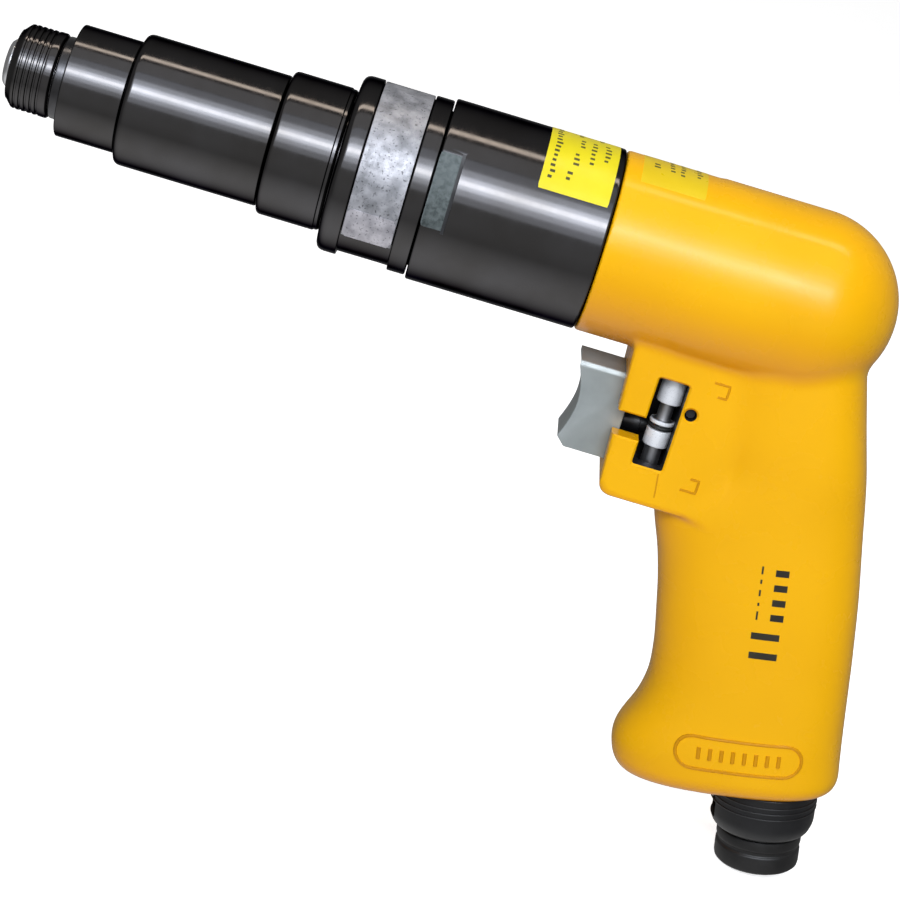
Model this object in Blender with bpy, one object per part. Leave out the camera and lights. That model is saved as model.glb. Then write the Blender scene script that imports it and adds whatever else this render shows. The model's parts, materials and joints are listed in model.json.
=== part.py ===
"""Pistol-grip air screwdriver with an adjustable clutch, as separate pieces.

World frame, in metres: the origin is the floor of the hexagonal bit socket, on the
spindle axis. +X runs back along the spindle, +Y to the tool's right, +Z up.
Sizes below are in millimetres. The handle has its own frame: local X runs down the
handle, local Z points to its back, and its origin is where the inlet axis meets the
spindle axis.
"""

from math import acos, cos, pi, radians, sin, sqrt, tan

import bmesh
import bpy
from mathutils import Matrix, Vector

for old in list(bpy.data.objects):
    bpy.data.objects.remove(old, do_unlink=True)

MM = 0.001

# ---- clearances ------------------------------------------------------------
FIT = 0.3  # between pieces that touch, screw together or run in each other
SLIDE = 0.4  # between the trigger and its pocket
BACKLASH = 0.16  # taken off each gear tooth's thickness
OVERCUT = 2.0  # how far a cutter runs past the face that it opens

# ---- lengths along the spindle ---------------------------------------------
SOCKET_DEPTH = 15.2
TIP_PROUD = 1.8  # spindle ahead of the chuck sleeve
CHUCK_LENGTH = 10.5
NECK_LENGTH = 2.3
CAP_LENGTH = 14.4
CASE_LENGTH = 35.0
COLLAR_LENGTH = 15.6
CLUTCH_HOUSING_LENGTH = 22.0
MOTOR_HOUSING_LENGTH = 41.6
BARREL_LENGTH = 50.3  # yellow barrel, from its front face to the centre of its dome

# ---- outer radii -----------------------------------------------------------
TIP_R = 5.85
CHUCK_R = 10.25
NECK_R = 9.9
CAP_R = 13.5
CASE_R = 15.85
COLLAR_R = 17.35
CLUTCH_HOUSING_R = 21.3
MOTOR_HOUSING_R = 22.0
BARREL_R = 22.2

# ---- stations --------------------------------------------------------------
NOSE_X = -SOCKET_DEPTH
CHUCK_X = NOSE_X + TIP_PROUD
NECK_X = CHUCK_X + CHUCK_LENGTH + FIT
CAP_X = NECK_X + NECK_LENGTH + FIT
CASE_X = CAP_X + CAP_LENGTH + FIT
COLLAR_X = CASE_X + CASE_LENGTH + FIT
HOUSING_X = COLLAR_X + COLLAR_LENGTH + FIT
MOTOR_X = HOUSING_X + CLUTCH_HOUSING_LENGTH + FIT
BARREL_X = MOTOR_X + MOTOR_HOUSING_LENGTH + FIT
DOME_X = BARREL_X + BARREL_LENGTH

# ---- bit chuck -------------------------------------------------------------
BIT_FLATS = 6.35
BIT_CLEARANCE = 0.15
SEAT_CHAMFER = 0.6
LOCK_BALL_R = 1.75
LOCK_BALL_X = NOSE_X + 9.4
LOCK_BALL_ORBIT = 4.1
CHUCK_LAND = 3.2  # width of the sleeve's land over the lock balls
CHUCK_POCKET_R = 8.4
CHUCK_SPRING_WIRE_R = 0.35

# ---- front bearing and clutch ----------------------------------------------
CAP_WALL = 2.5
BEARING_R = 11.0
BEARING_WIDTH = 5.5
JOURNAL_R = 5.0
SPINDLE_R = 6.5
SPIGOT_R = 11.9
CASE_FRONT_BORE_R = 9.5
CASE_BORE_R = 12.4
CASE_SPIGOT_R = 13.9
CASE_SPIGOT_LENGTH = 22.3
FLANGE_X = CASE_X + 15.5
FLANGE_WIDTH = 5.0
FLANGE_R = 11.4
CLUTCH_BALLS = 3
CLUTCH_BALL_R = 2.25
CLUTCH_BALL_ORBIT = 8.2
POCKET_DEPTH = 1.4
CAM_GAP = 2.8
CAM_WIDTH = 6.0
PILOT_R = 3.0
PILOT_LENGTH = 9.0
SHAFT_R = 5.4  # corner radius of its hexagonal part
THREAD_R = 7.0
CLUTCH_SPRING_R = 9.4
CLUTCH_WIRE_R = 1.05
WASHER_WIDTH = 2.0
WASHER_R = 11.6
NUT_TRAVEL = 3.4
NUT_HUB_LENGTH = 5.0
NUT_HUB_R = 11.5
NUT_FLANGE_WIDTH = 5.0
NUT_FLANGE_R = 15.4
NUT_NOTCHES = 12
NUT_NOTCH_DEPTH = 1.6
HOUSING_BORE_R = 17.0
HOUSING_WALL = 6.4  # front wall that the clutch case screws into
HOUSING_SPIGOT_R = 18.8
HOUSING_SPIGOT_LENGTH = 8.1
BAND_WIDTH = 11.9
BAND_THICKNESS = 0.5
BAND_OFFSET = 5.4  # from the housing's front face to the band
BAND_GAP_LEFT = radians(53.5)  # from the bottom of the tool to the band's left end
BAND_GAP_RIGHT = radians(26.0)
WINDOW_WIDTH = 12.0

# ---- planetary gears -------------------------------------------------------
MODULE = 0.7
PRESSURE_ANGLE = radians(25.0)
ADDENDUM = 0.8  # in modules
DEDENDUM = 1.05
SUN_TEETH = 12
PLANET_TEETH = 15
PLANETS = 3
RING_TEETH = SUN_TEETH + 2 * PLANET_TEETH
GEAR_WIDTH = 10.5
CARRIER_PLATE = 3.6
CARRIER_CLEARANCE = 1.24  # between the carriers and the ring gear's teeth
CARRIER_R = MODULE * (RING_TEETH / 2 - ADDENDUM) - CARRIER_CLEARANCE
PLANET_PIN_R = 1.6
RING_GEAR_R = 18.2
HUB_R = 7.6
HUB_LENGTH = 10.0
HUB_SOCKET_R = 5.2  # corner radius of the hexagonal drive
CARRIER_BEARING_WIDTH = 7.0
WRENCH_FLATS = 40.3
WRENCH_FLAT_LENGTH = 5.8
WRENCH_FLAT_TURN = radians(13.0)  # the left flat faces this far above level

# ---- air motor -------------------------------------------------------------
BARREL_SPIGOT_R = 19.5
BARREL_SPIGOT_LENGTH = 10.2
SPIGOT_BORE_R = 17.6
MOTOR_BORE_R = 18.2
MOTOR_BORE_END = 6.0  # behind the dome's centre
END_PLATE_WIDTH = 8.0
ROTOR_R = 12.5
ROTOR_SHAFT_R = 5.0
ROTOR_ECCENTRICITY = 1.6
ROTOR_BEARING_R = 8.0
ROTOR_BEARING_WIDTH = 5.3
VANES = 5
VANE_THICKNESS = 1.4
VANE_HEIGHT = 6.0
PORT_R = 2.5

# ---- handle ----------------------------------------------------------------
HANDLE_TILT = radians(11.4)
HANDLE_BACKSET = 6.5  # inlet axis behind the dome's centre, on the spindle axis
HANDLE_LENGTH = 122.5  # down the inlet axis, from the spindle axis to the base
HANDLE_SEGMENTS = 24
HANDLE_SQUARENESS = 2.5  # superellipse exponent of its section
HANDLE_EGG = 0.10  # how much wider the section is at its back
# share of the handle's length, front edge, back edge and half width of the section
HANDLE_SECTIONS = (
    (0.05, -26.0, 9.5, 16.0),
    (0.135, -26.0, 10.9, 16.0),
    (0.22, -26.5, 12.2, 16.0),
    (0.33, -27.0, 14.1, 15.8),
    (0.40, -36.5, 14.8, 15.7),
    (0.445, -35.9, 15.1, 15.7),
    (0.52, -33.9, 15.8, 15.8),
    (0.59, -32.9, 16.4, 15.9),
    (0.72, -32.0, 16.9, 16.3),
    (0.79, -32.4, 17.0, 16.6),
    (0.85, -34.9, 17.1, 16.8),
    (0.887, -38.2, 17.2, 17.0),
    (0.92, -40.2, 17.3, 17.0),
    (0.954, -39.4, 17.5, 16.9),
    (0.98, -37.4, 17.5, 16.6),
    (0.995, -35.0, 17.0, 15.8),
    (1.0, -33.5, 16.0, 14.6),
)
INLET_THREAD_R = 8.5
INLET_THREAD_LENGTH = 14.0
INLET_R = 10.7
INLET_NECK_R = 9.2  # where the deflector turns on it
INLET_LENGTH = 22.2  # below the handle's base
INLET_BORE_R = 5.6
PASSAGE_R = 4.5
DEFLECTOR_R = 13.2
DEFLECTOR_HEIGHT = 12.6
DEFLECTOR_WALL = 1.6
DEFLECTOR_SLOT = 10.0  # width of the opening that the exhaust leaves through
EXHAUST_R = 2.8
EXHAUST_SIDE = 9.6
EXHAUST_FORWARD = 4.6
MUFFLER_R_IN = 10.0
MUFFLER_R_OUT = 12.3
MUFFLER_DEPTH = 7.0

# ---- trigger block ---------------------------------------------------------
BLOCK_X = BARREL_X + 14.7
BLOCK_RAKE = 1.9  # how much its front face leans back at the bottom
BLOCK_BACK = BLOCK_X + 30.0  # inside the grip
BLOCK_BOTTOM = -56.5
BLOCK_HALF_WIDTH = 13.0
TRIGGER_X = BLOCK_X - 11.1
TRIGGER_TOP = -27.6
TRIGGER_BOTTOM = -49.5
TRIGGER_HALF_WIDTH = 7.0
TRIGGER_HOLLOW = 2.2  # depth of the finger curve
TRIGGER_REAR_X = BLOCK_X + 2.9
TRIGGER_TRAVEL = 4.2
WINDOW_X = TRIGGER_REAR_X + TRIGGER_TRAVEL + SLIDE + 0.1
WINDOW_LENGTH = 7.5
WINDOW_TOP = -24.7
WINDOW_BOTTOM = -46.8
ROD_Z = -40.4
SLOT_TOP = -35.2  # the left side's slot, from the block's front face to its window
SLOT_BOTTOM = -41.2
ROD_HEAD_R = 2.4
ROD_R = 2.0
CHAMBER_X = WINDOW_X + WINDOW_LENGTH + 7.7
CHAMBER_R = 6.0
CHAMBER_LENGTH = 26.0
BUSH_LENGTH = 6.0
BUSH_BORE_R = 2.9
VALVE_HEAD_R = 4.6
VALVE_HEAD_WIDTH = 2.8
VALVE_STEM_R = 1.8
VALVE_TAIL = 5.0  # stem behind the head, inside the spring
VALVE_SPRING_R = 3.3
VALVE_WIRE_R = 0.45
SPOOL_X = WINDOW_X + 4.5
SPOOL_Y = -5.8
SPOOL_R = 3.05
SPOOL_STEM_R = 2.2
SPOOL_NECK_R = 1.8
SPOOL_LAND = 6.5
SPOOL_NECK = 4.5
SPOOL_LOWER_LAND = 6.6
SPOOL_STEM_UP = 6.0
SPOOL_TRAVEL = 4.2
SEAL_R = 2.7
SEAL_WIRE_R = 0.42
PIN_X = WINDOW_X + WINDOW_LENGTH + 2.3
PIN_Z = -31.5
PIN_R = 1.2
PIN_RECESS = 2.2

# ---- facets ----------------------------------------------------------------
FINE = 32
MEDIUM = 20
COARSE = 12
TINY = 8


# ---- materials -------------------------------------------------------------
def material(name, colour, roughness, metallic):
    made = bpy.data.materials.new(name)
    made.use_nodes = True
    shader = made.node_tree.nodes["Principled BSDF"]
    shader.inputs["Base Color"].default_value = (*colour, 1.0)
    shader.inputs["Roughness"].default_value = roughness
    shader.inputs["Metallic"].default_value = metallic
    return made


YELLOW_PAINT = material("yellow_paint", (0.90, 0.49, 0.0), 0.25, 0.0)
BLACK_STEEL = material("black_steel", (0.035, 0.035, 0.04), 0.28, 0.9)
BRIGHT_STEEL = material("bright_steel", (0.62, 0.62, 0.64), 0.25, 1.0)
SATIN_STEEL = material("satin_steel", (0.42, 0.43, 0.44), 0.5, 1.0)
SPRING_STEEL = material("spring_steel", (0.30, 0.30, 0.32), 0.35, 1.0)
GREY_TRIGGER = material("grey_trigger", (0.33, 0.35, 0.35), 0.45, 0.6)
BLACK_PLASTIC = material("black_plastic", (0.012, 0.012, 0.013), 0.5, 0.0)
BRASS = material("brass", (0.70, 0.48, 0.18), 0.3, 1.0)
RUBBER = material("rubber", (0.01, 0.01, 0.01), 0.7, 0.0)
FELT = material("felt", (0.22, 0.21, 0.20), 0.95, 0.0)
VANE_RESIN = material("vane_resin", (0.20, 0.11, 0.05), 0.6, 0.0)


# ---- frames ----------------------------------------------------------------
def mm(*values):
    return Vector(values) * MM


def make_empty(name, location, rotation=(0.0, 0.0, 0.0), parent=None):
    empty = bpy.data.objects.new(name, None)
    empty.location = location
    empty.rotation_euler = rotation
    empty.parent = parent
    bpy.context.scene.collection.objects.link(empty)
    return empty


spindle_axis = make_empty("spindle_axis", mm(0, 0, 0))
handle_axis = make_empty(
    "handle_axis", mm(DOME_X + HANDLE_BACKSET, 0, 0), (0.0, pi / 2 - HANDLE_TILT, 0.0)
)
trigger_axis = make_empty("trigger_axis", mm(TRIGGER_X, 0, ROD_Z))
# the spool's local X runs down the spool
spool_axis = make_empty("spool_axis", mm(SPOOL_X, SPOOL_Y, 0), (0.0, pi / 2, 0.0))


# ---- building blocks -------------------------------------------------------
def finish(name, bm, paint, parent, location=(0.0, 0.0, 0.0), rotation=(0.0, 0.0, 0.0)):
    """Turns bm, in millimetres, into an object under its parent empty."""
    bmesh.ops.recalc_face_normals(bm, faces=bm.faces)
    bmesh.ops.scale(bm, vec=(MM, MM, MM), verts=bm.verts)
    mesh = bpy.data.meshes.new(name)
    bm.to_mesh(mesh)
    bm.free()
    mesh.materials.append(paint)
    mesh.shade_smooth()
    mesh.set_sharp_from_angle(angle=radians(30))
    made = bpy.data.objects.new(name, mesh)
    made.parent = parent
    made.location = Vector(location) * MM
    made.rotation_euler = rotation
    bpy.context.scene.collection.objects.link(made)
    return made


def spun(profile, segments, centre=(0.0, 0.0)):
    """A profile of (x, radius) points, spun about the line y, z = centre."""
    bm = bmesh.new()
    cy, cz = centre
    corners = [bm.verts.new((x, cy, cz + r)) for x, r in profile]
    edges = [bm.edges.new((a, b)) for a, b in zip(corners, corners[1:] + corners[:1])]
    bmesh.ops.spin(
        bm, geom=corners + edges, cent=(0, cy, cz), axis=(1, 0, 0), angle=2 * pi,
        steps=segments, use_merge=True,
    )
    bmesh.ops.remove_doubles(bm, verts=bm.verts, dist=1e-4)
    return bm


def turned(name, profile, paint, parent=spindle_axis, segments=MEDIUM, **place):
    return finish(name, spun(profile, segments), paint, parent, **place)


def ring(x0, x1, r_in, r_out, chamfer=0.0):
    """The profile of a plain ring, with its outer edges chamfered if asked."""
    if not chamfer:
        return [(x0, r_in), (x0, r_out), (x1, r_out), (x1, r_in)]
    return [
        (x0, r_in), (x0, r_out - chamfer), (x0 + chamfer, r_out),
        (x1 - chamfer, r_out), (x1, r_out - chamfer), (x1, r_in),
    ]


def rod(x0, x1, r):
    return [(x0, 0.0), (x0, r), (x1, r), (x1, 0.0)]


def round_over(x, r, radius, steps=3):
    """Points of a rounded front edge, from the face at x out to the radius r."""
    points = []
    for i in range(steps + 1):
        turn = pi / 2 * i / steps
        points.append((x + radius * (1 - sin(turn)), r - radius * (1 - cos(turn))))
    return points[::-1]


def extruded(outline, x0, x1):
    """A flat outline of (y, z) points, extruded along X."""
    bm = bmesh.new()
    face = bm.faces.new([bm.verts.new((x0, y, z)) for y, z in outline])
    moved = bmesh.ops.extrude_face_region(bm, geom=[face])
    tops = [item for item in moved["geom"] if isinstance(item, bmesh.types.BMVert)]
    bmesh.ops.translate(bm, vec=(x1 - x0, 0, 0), verts=tops)
    return bm


def extruded_side(outline, y0, y1):
    """A flat outline of (x, z) points, extruded along Y."""
    bm = bmesh.new()
    face = bm.faces.new([bm.verts.new((x, y0, z)) for x, z in outline])
    moved = bmesh.ops.extrude_face_region(bm, geom=[face])
    tops = [item for item in moved["geom"] if isinstance(item, bmesh.types.BMVert)]
    bmesh.ops.translate(bm, vec=(0, y1 - y0, 0), verts=tops)
    return bm


def box(x0, x1, y0, y1, z0, z1):
    return extruded([(y0, z0), (y1, z0), (y1, z1), (y0, z1)], x0, x1)


def cutter(name, bm, parent=spindle_axis, **place):
    made = finish(name, bm, BLACK_STEEL, parent, **place)
    made.hide_render = True
    made.display_type = "WIRE"
    return made


def combine(target, other, operation):
    step = target.modifiers.new(other.name, "BOOLEAN")
    step.operation = operation
    step.object = other
    step.solver = "EXACT"


def cut(target, name, bm, parent=spindle_axis, **place):
    combine(target, cutter(name, bm, parent, **place), "DIFFERENCE")


def join(target, name, bm, parent=spindle_axis, **place):
    combine(target, cutter(name, bm, parent, **place), "UNION")


def ball(name, radius, paint, parent, location):
    bm = bmesh.new()
    bmesh.ops.create_uvsphere(bm, u_segments=TINY, v_segments=8, radius=radius)
    return finish(name, bm, paint, parent, location=location)


def coil_spring(name, x0, x1, radius, wire_r, turns, parent, points_per_turn=9):
    """A round-wire spring along the parent's X, whose wire lies between x0 and x1."""
    curve = bpy.data.curves.new(name, "CURVE")
    curve.dimensions = "3D"
    curve.bevel_depth = wire_r * MM
    curve.bevel_resolution = 1
    curve.use_fill_caps = True
    count = int(turns * points_per_turn) + 1
    line = curve.splines.new("POLY")
    line.points.add(count - 1)
    for i, point in enumerate(line.points):
        share = i / (count - 1)
        angle = 2 * pi * turns * share
        x = x0 + wire_r + (x1 - x0 - 2 * wire_r) * share
        point.co = (*mm(x, radius * cos(angle), radius * sin(angle)), 1.0)
    curve.materials.append(SPRING_STEEL)
    made = bpy.data.objects.new(name, curve)
    made.parent = parent
    bpy.context.scene.collection.objects.link(made)
    return made


def around(count, phase=0.0):
    """Evenly spaced angles about X, the first one at +Z."""
    return [phase + 2 * pi * i / count for i in range(count)]


def polar(radius, angle):
    """The (y, z) point at this angle from +Z towards +Y."""
    return radius * sin(angle), radius * cos(angle)


def polygon(count, radius, phase=0.0):
    return [polar(radius, angle) for angle in around(count, phase)]


# ---- gear teeth ------------------------------------------------------------
def involute(angle):
    return tan(angle) - angle


def gear_outline(teeth, root_r, tip_r, thinned, phase=0.0, steps=1):
    """An involute gear's outline, with a tooth at the phase angle.

    thinned is taken off each tooth's thickness at the pitch circle. A negative value
    widens it, for the cutter that leaves an internal gear.
    """
    pitch_r = MODULE * teeth / 2
    base_r = pitch_r * cos(PRESSURE_ANGLE)
    half = pi / (2 * teeth) - thinned / (2 * pitch_r) + involute(PRESSURE_ANGLE)
    start_r = max(base_r, root_r)
    radii = [start_r + (tip_r - start_r) * i / steps for i in range(steps + 1)]
    flank = [(r, half - involute(acos(min(1.0, base_r / r)))) for r in radii]
    if root_r < base_r:
        flank.insert(0, (root_r, flank[0][1]))
    points = []
    for tooth in around(teeth, phase):
        points += [polar(r, tooth - width) for r, width in flank]
        points += [polar(r, tooth + width) for r, width in reversed(flank)]
    return points


def external_gear(teeth, phase=0.0):
    pitch_r = MODULE * teeth / 2
    root_r = pitch_r - DEDENDUM * MODULE
    return gear_outline(teeth, root_r, pitch_r + ADDENDUM * MODULE, BACKLASH, phase)


def internal_gear_cutter(teeth, phase=0.0):
    pitch_r = MODULE * teeth / 2
    tip_r = pitch_r - ADDENDUM * MODULE
    return gear_outline(teeth, tip_r, pitch_r + DEDENDUM * MODULE, -BACKLASH, phase)


# ---- bit chuck and output spindle ------------------------------------------
BEARING_X = CAP_X + CAP_WALL + FIT
BEARING_END = BEARING_X + BEARING_WIDTH
FLANGE_END = FLANGE_X + FLANGE_WIDTH
PILOT_BORE_R = PILOT_R + FIT
SOCKET_R = (BIT_FLATS + BIT_CLEARANCE) / sqrt(3)
CHUCK_LAND_X = LOCK_BALL_X - CHUCK_LAND / 2
RETAINER_X = CHUCK_X + 0.7
RETAINER_WIDTH = 0.8
CLUTCH_BALL_X = FLANGE_END + CAM_GAP / 2


def make_output_spindle():
    spindle = turned(
        "output_spindle",
        [
            (NOSE_X, 0.0), (NOSE_X, TIP_R - 0.8), (NOSE_X + 0.8, TIP_R),
            (BEARING_X - FIT, TIP_R), (BEARING_X - FIT, JOURNAL_R),
            (BEARING_END + FIT, JOURNAL_R), (BEARING_END + FIT, SPINDLE_R),
            (FLANGE_X, SPINDLE_R), (FLANGE_X, FLANGE_R), (FLANGE_END, FLANGE_R),
            (FLANGE_END, PILOT_BORE_R), (FLANGE_END - PILOT_LENGTH, PILOT_BORE_R),
            (FLANGE_END - PILOT_LENGTH, 0.0),
        ],
        BRIGHT_STEEL, segments=2 * COARSE,
    )
    hexagon = polygon(6, SOCKET_R)
    cut(spindle, "socket_cutter", extruded(hexagon, NOSE_X - OVERCUT, -SEAT_CHAMFER))
    seat = extruded(polygon(6, SOCKET_R - SEAT_CHAMFER), -SEAT_CHAMFER - 0.1, 0.0)
    cut(spindle, "seat_cutter", seat)
    hole = spun(rod(-TIP_R - OVERCUT, TIP_R + OVERCUT, LOCK_BALL_R + FIT), TINY)
    cut(
        spindle, "lock_ball_cutter", hole,
        location=(LOCK_BALL_X, 0, 0), rotation=(0.0, 0.0, pi / 2),
    )
    pocket_r = CLUTCH_BALL_R + FIT
    for i, angle in enumerate(around(CLUTCH_BALLS)):
        y, z = polar(CLUTCH_BALL_ORBIT, angle)
        pocket = spun(rod(FLANGE_END - POCKET_DEPTH, FLANGE_END + OVERCUT, pocket_r), TINY)
        cut(spindle, f"spindle_pocket_cutter_{i + 1}", pocket, location=(0, y, z))


def make_chuck():
    end = CHUCK_X + CHUCK_LENGTH
    land_end = CHUCK_LAND_X + CHUCK_LAND
    turned(
        "chuck_sleeve",
        [
            (CHUCK_X, CHUCK_POCKET_R), (CHUCK_X, CHUCK_R - 1.2), (CHUCK_X + 1.0, CHUCK_R),
            (end - 0.5, CHUCK_R), (end, CHUCK_R - 0.5), (end, CHUCK_POCKET_R),
            (land_end, CHUCK_POCKET_R), (land_end, TIP_R + FIT),
            (CHUCK_LAND_X, TIP_R + FIT), (CHUCK_LAND_X, CHUCK_POCKET_R),
        ],
        BLACK_STEEL,
    )
    turned(
        "chuck_retainer",
        ring(RETAINER_X, RETAINER_X + RETAINER_WIDTH, TIP_R + FIT, CHUCK_POCKET_R - FIT),
        BRIGHT_STEEL, segments=COARSE,
    )
    coil_spring(
        "chuck_spring", RETAINER_X + RETAINER_WIDTH + FIT, CHUCK_LAND_X - FIT,
        (TIP_R + CHUCK_POCKET_R) / 2, CHUCK_SPRING_WIRE_R, 2.5, spindle_axis,
    )
    for i, side in enumerate((-1, 1)):
        place = (LOCK_BALL_X, side * LOCK_BALL_ORBIT, 0)
        ball(f"lock_ball_{i + 1}", LOCK_BALL_R, BRIGHT_STEEL, spindle_axis, place)


# ---- nose, clutch case and collar ------------------------------------------
def make_nose():
    turned(
        "dust_ring",
        ring(NECK_X, NECK_X + NECK_LENGTH, TIP_R + FIT, NECK_R, 0.3),
        BRIGHT_STEEL,
    )
    cap_end = CAP_X + CAP_LENGTH
    bore = BEARING_END + FIT
    turned(
        "nose_cap",
        [
            (CAP_X, TIP_R + FIT), (CAP_X, CAP_R - 0.9), (CAP_X + 0.9, CAP_R),
            (cap_end - 0.4, CAP_R), (cap_end, CAP_R - 0.4), (cap_end, SPIGOT_R + FIT),
            (bore, SPIGOT_R + FIT), (bore, BEARING_R + FIT),
            (CAP_X + CAP_WALL, BEARING_R + FIT), (CAP_X + CAP_WALL, TIP_R + FIT),
        ],
        BLACK_STEEL, segments=FINE,
    )
    turned(
        "front_bearing",
        ring(BEARING_X, BEARING_END, JOURNAL_R + FIT, BEARING_R, 0.4),
        BRIGHT_STEEL, segments=COARSE,
    )
    case_end = CASE_X + CASE_LENGTH
    spigot = BEARING_END + 2 * FIT
    step = CASE_X + 3.3
    turned(
        "clutch_case",
        [(spigot, CASE_FRONT_BORE_R), (spigot, SPIGOT_R), (CASE_X, SPIGOT_R)]
        + round_over(CASE_X, CASE_R, 2.2)
        + [
            (case_end - 0.4, CASE_R), (case_end, CASE_R - 0.4),
            (case_end, CASE_SPIGOT_R), (case_end + CASE_SPIGOT_LENGTH, CASE_SPIGOT_R),
            (case_end + CASE_SPIGOT_LENGTH, CASE_BORE_R), (step, CASE_BORE_R),
            (step, CASE_FRONT_BORE_R),
        ],
        BLACK_STEEL, segments=FINE,
    )
    collar_end = COLLAR_X + COLLAR_LENGTH
    turned(
        "lock_collar",
        [(COLLAR_X, CASE_SPIGOT_R + FIT)]
        + round_over(COLLAR_X, COLLAR_R, 1.4)
        + [
            (collar_end - 0.4, COLLAR_R), (collar_end, COLLAR_R - 0.4),
            (collar_end, CASE_SPIGOT_R + FIT),
        ],
        BLACK_STEEL, segments=FINE,
    )


# ---- clutch ----------------------------------------------------------------
CAM_X = FLANGE_END + CAM_GAP
CAM_END = CAM_X + CAM_WIDTH
BAND_X = HOUSING_X + BAND_OFFSET
BAND_R = CLUTCH_HOUSING_R - 0.2
NUT_END = BAND_X + BAND_WIDTH - 2.2
NUT_FLANGE_X = NUT_END - NUT_FLANGE_WIDTH
NUT_X = NUT_FLANGE_X - NUT_HUB_LENGTH
WASHER_X = NUT_X - FIT - WASHER_WIDTH
THREAD_X = WASHER_X - NUT_TRAVEL - 3.6
HUB_X = NUT_END + 1.5
CARRIER_2_X = HUB_X + HUB_LENGTH
CARRIER_BEARING_X = HUB_X + 2.0


def make_clutch_housing():
    end = HOUSING_X + CLUTCH_HOUSING_LENGTH
    groove = BAND_R - BAND_THICKNESS - FIT
    band_end = BAND_X + BAND_WIDTH + FIT
    wall = HOUSING_X + HOUSING_WALL
    r = CLUTCH_HOUSING_R
    housing = turned(
        "clutch_housing",
        [(HOUSING_X, CASE_SPIGOT_R + FIT)]
        + round_over(HOUSING_X, r, 2.4)
        + [
            (BAND_X - FIT, r), (BAND_X - FIT, groove), (band_end, groove), (band_end, r),
            (end, r), (end, HOUSING_SPIGOT_R),
            (end + HOUSING_SPIGOT_LENGTH, HOUSING_SPIGOT_R),
            (end + HOUSING_SPIGOT_LENGTH, HOUSING_BORE_R), (wall, HOUSING_BORE_R),
            (wall, CASE_SPIGOT_R + FIT),
        ],
        BLACK_STEEL, segments=FINE,
    )
    half = WINDOW_WIDTH / 2
    window = box(wall + 0.5, band_end - 0.9, -half, half, -r - OVERCUT, -HOUSING_BORE_R + 3)
    cut(housing, "window_cutter", window)


def make_cover_band():
    """A spring band, open at the bottom, that turns in its groove to cover the window."""
    band = turned(
        "cover_band",
        ring(BAND_X, BAND_X + BAND_WIDTH, BAND_R - BAND_THICKNESS, BAND_R),
        SATIN_STEEL, segments=FINE,
    )
    far = BAND_R * 2
    wedge = [
        (0.0, 0.0), (-far * sin(BAND_GAP_LEFT), -far * cos(BAND_GAP_LEFT)),
        (far * sin(BAND_GAP_RIGHT), -far * cos(BAND_GAP_RIGHT)),
    ]
    cut(band, "band_gap_cutter", extruded(wedge, BAND_X - OVERCUT, BAND_X + BAND_WIDTH + OVERCUT))


def make_clutch():
    turned(
        "clutch_shaft",
        [
            (FLANGE_END - PILOT_LENGTH + FIT, 0.0), (FLANGE_END - PILOT_LENGTH + FIT, PILOT_R),
            (CLUTCH_BALL_X, PILOT_R), (CLUTCH_BALL_X, SHAFT_R), (THREAD_X + 1.0, SHAFT_R),
            (THREAD_X + 1.0, 0.0),
        ],
        SATIN_STEEL, segments=6,
    )
    shaft = bpy.data.objects["clutch_shaft"]
    join(shaft, "shaft_thread", spun(rod(THREAD_X, HUB_X - FIT, THREAD_R), COARSE))
    drive_end = HUB_X + HUB_LENGTH - FIT
    join(shaft, "shaft_drive", extruded(polygon(6, HUB_SOCKET_R), HUB_X - 1.0, drive_end))

    cam = turned(
        "driving_cam",
        ring(CAM_X, CAM_END, SHAFT_R - 1.0, FLANGE_R, 0.5), SATIN_STEEL, segments=COARSE,
    )
    hexagon = polygon(6, SHAFT_R + FIT / cos(pi / 6))
    cut(cam, "cam_bore_cutter", extruded(hexagon, CAM_X - OVERCUT, CAM_END + OVERCUT))
    pocket_r = CLUTCH_BALL_R + FIT
    for i, angle in enumerate(around(CLUTCH_BALLS)):
        y, z = polar(CLUTCH_BALL_ORBIT, angle)
        pocket = spun(rod(CAM_X - OVERCUT, CAM_X + POCKET_DEPTH, pocket_r), TINY)
        cut(cam, f"cam_pocket_cutter_{i + 1}", pocket, location=(0, y, z))
        ball(f"clutch_ball_{i + 1}", CLUTCH_BALL_R, BRIGHT_STEEL, spindle_axis, (CLUTCH_BALL_X, y, z))

    coil_spring(
        "clutch_spring", CAM_END + FIT, WASHER_X - FIT, CLUTCH_SPRING_R, CLUTCH_WIRE_R,
        5.5, spindle_axis,
    )
    turned(
        "thrust_washer",
        ring(WASHER_X, WASHER_X + WASHER_WIDTH, THREAD_R + FIT, WASHER_R),
        BRIGHT_STEEL, segments=COARSE,
    )
    notched = []
    for angle in around(NUT_NOTCHES):
        for turn, depth in ((-0.16, 0), (0.0, 0), (0.16, 0), (0.2, 1), (0.32, 1)):
            r = NUT_FLANGE_R - depth * NUT_NOTCH_DEPTH
            notched.append(polar(r, angle + turn))
    nut = finish("adjusting_nut", extruded(notched, NUT_FLANGE_X, NUT_END), BRASS, spindle_axis)
    join(nut, "nut_hub", spun(rod(NUT_X, NUT_FLANGE_X + 1.0, NUT_HUB_R), MEDIUM))
    bore = spun(rod(NUT_X - OVERCUT, NUT_END + OVERCUT, THREAD_R + FIT), COARSE)
    cut(nut, "nut_bore_cutter", bore)


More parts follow.
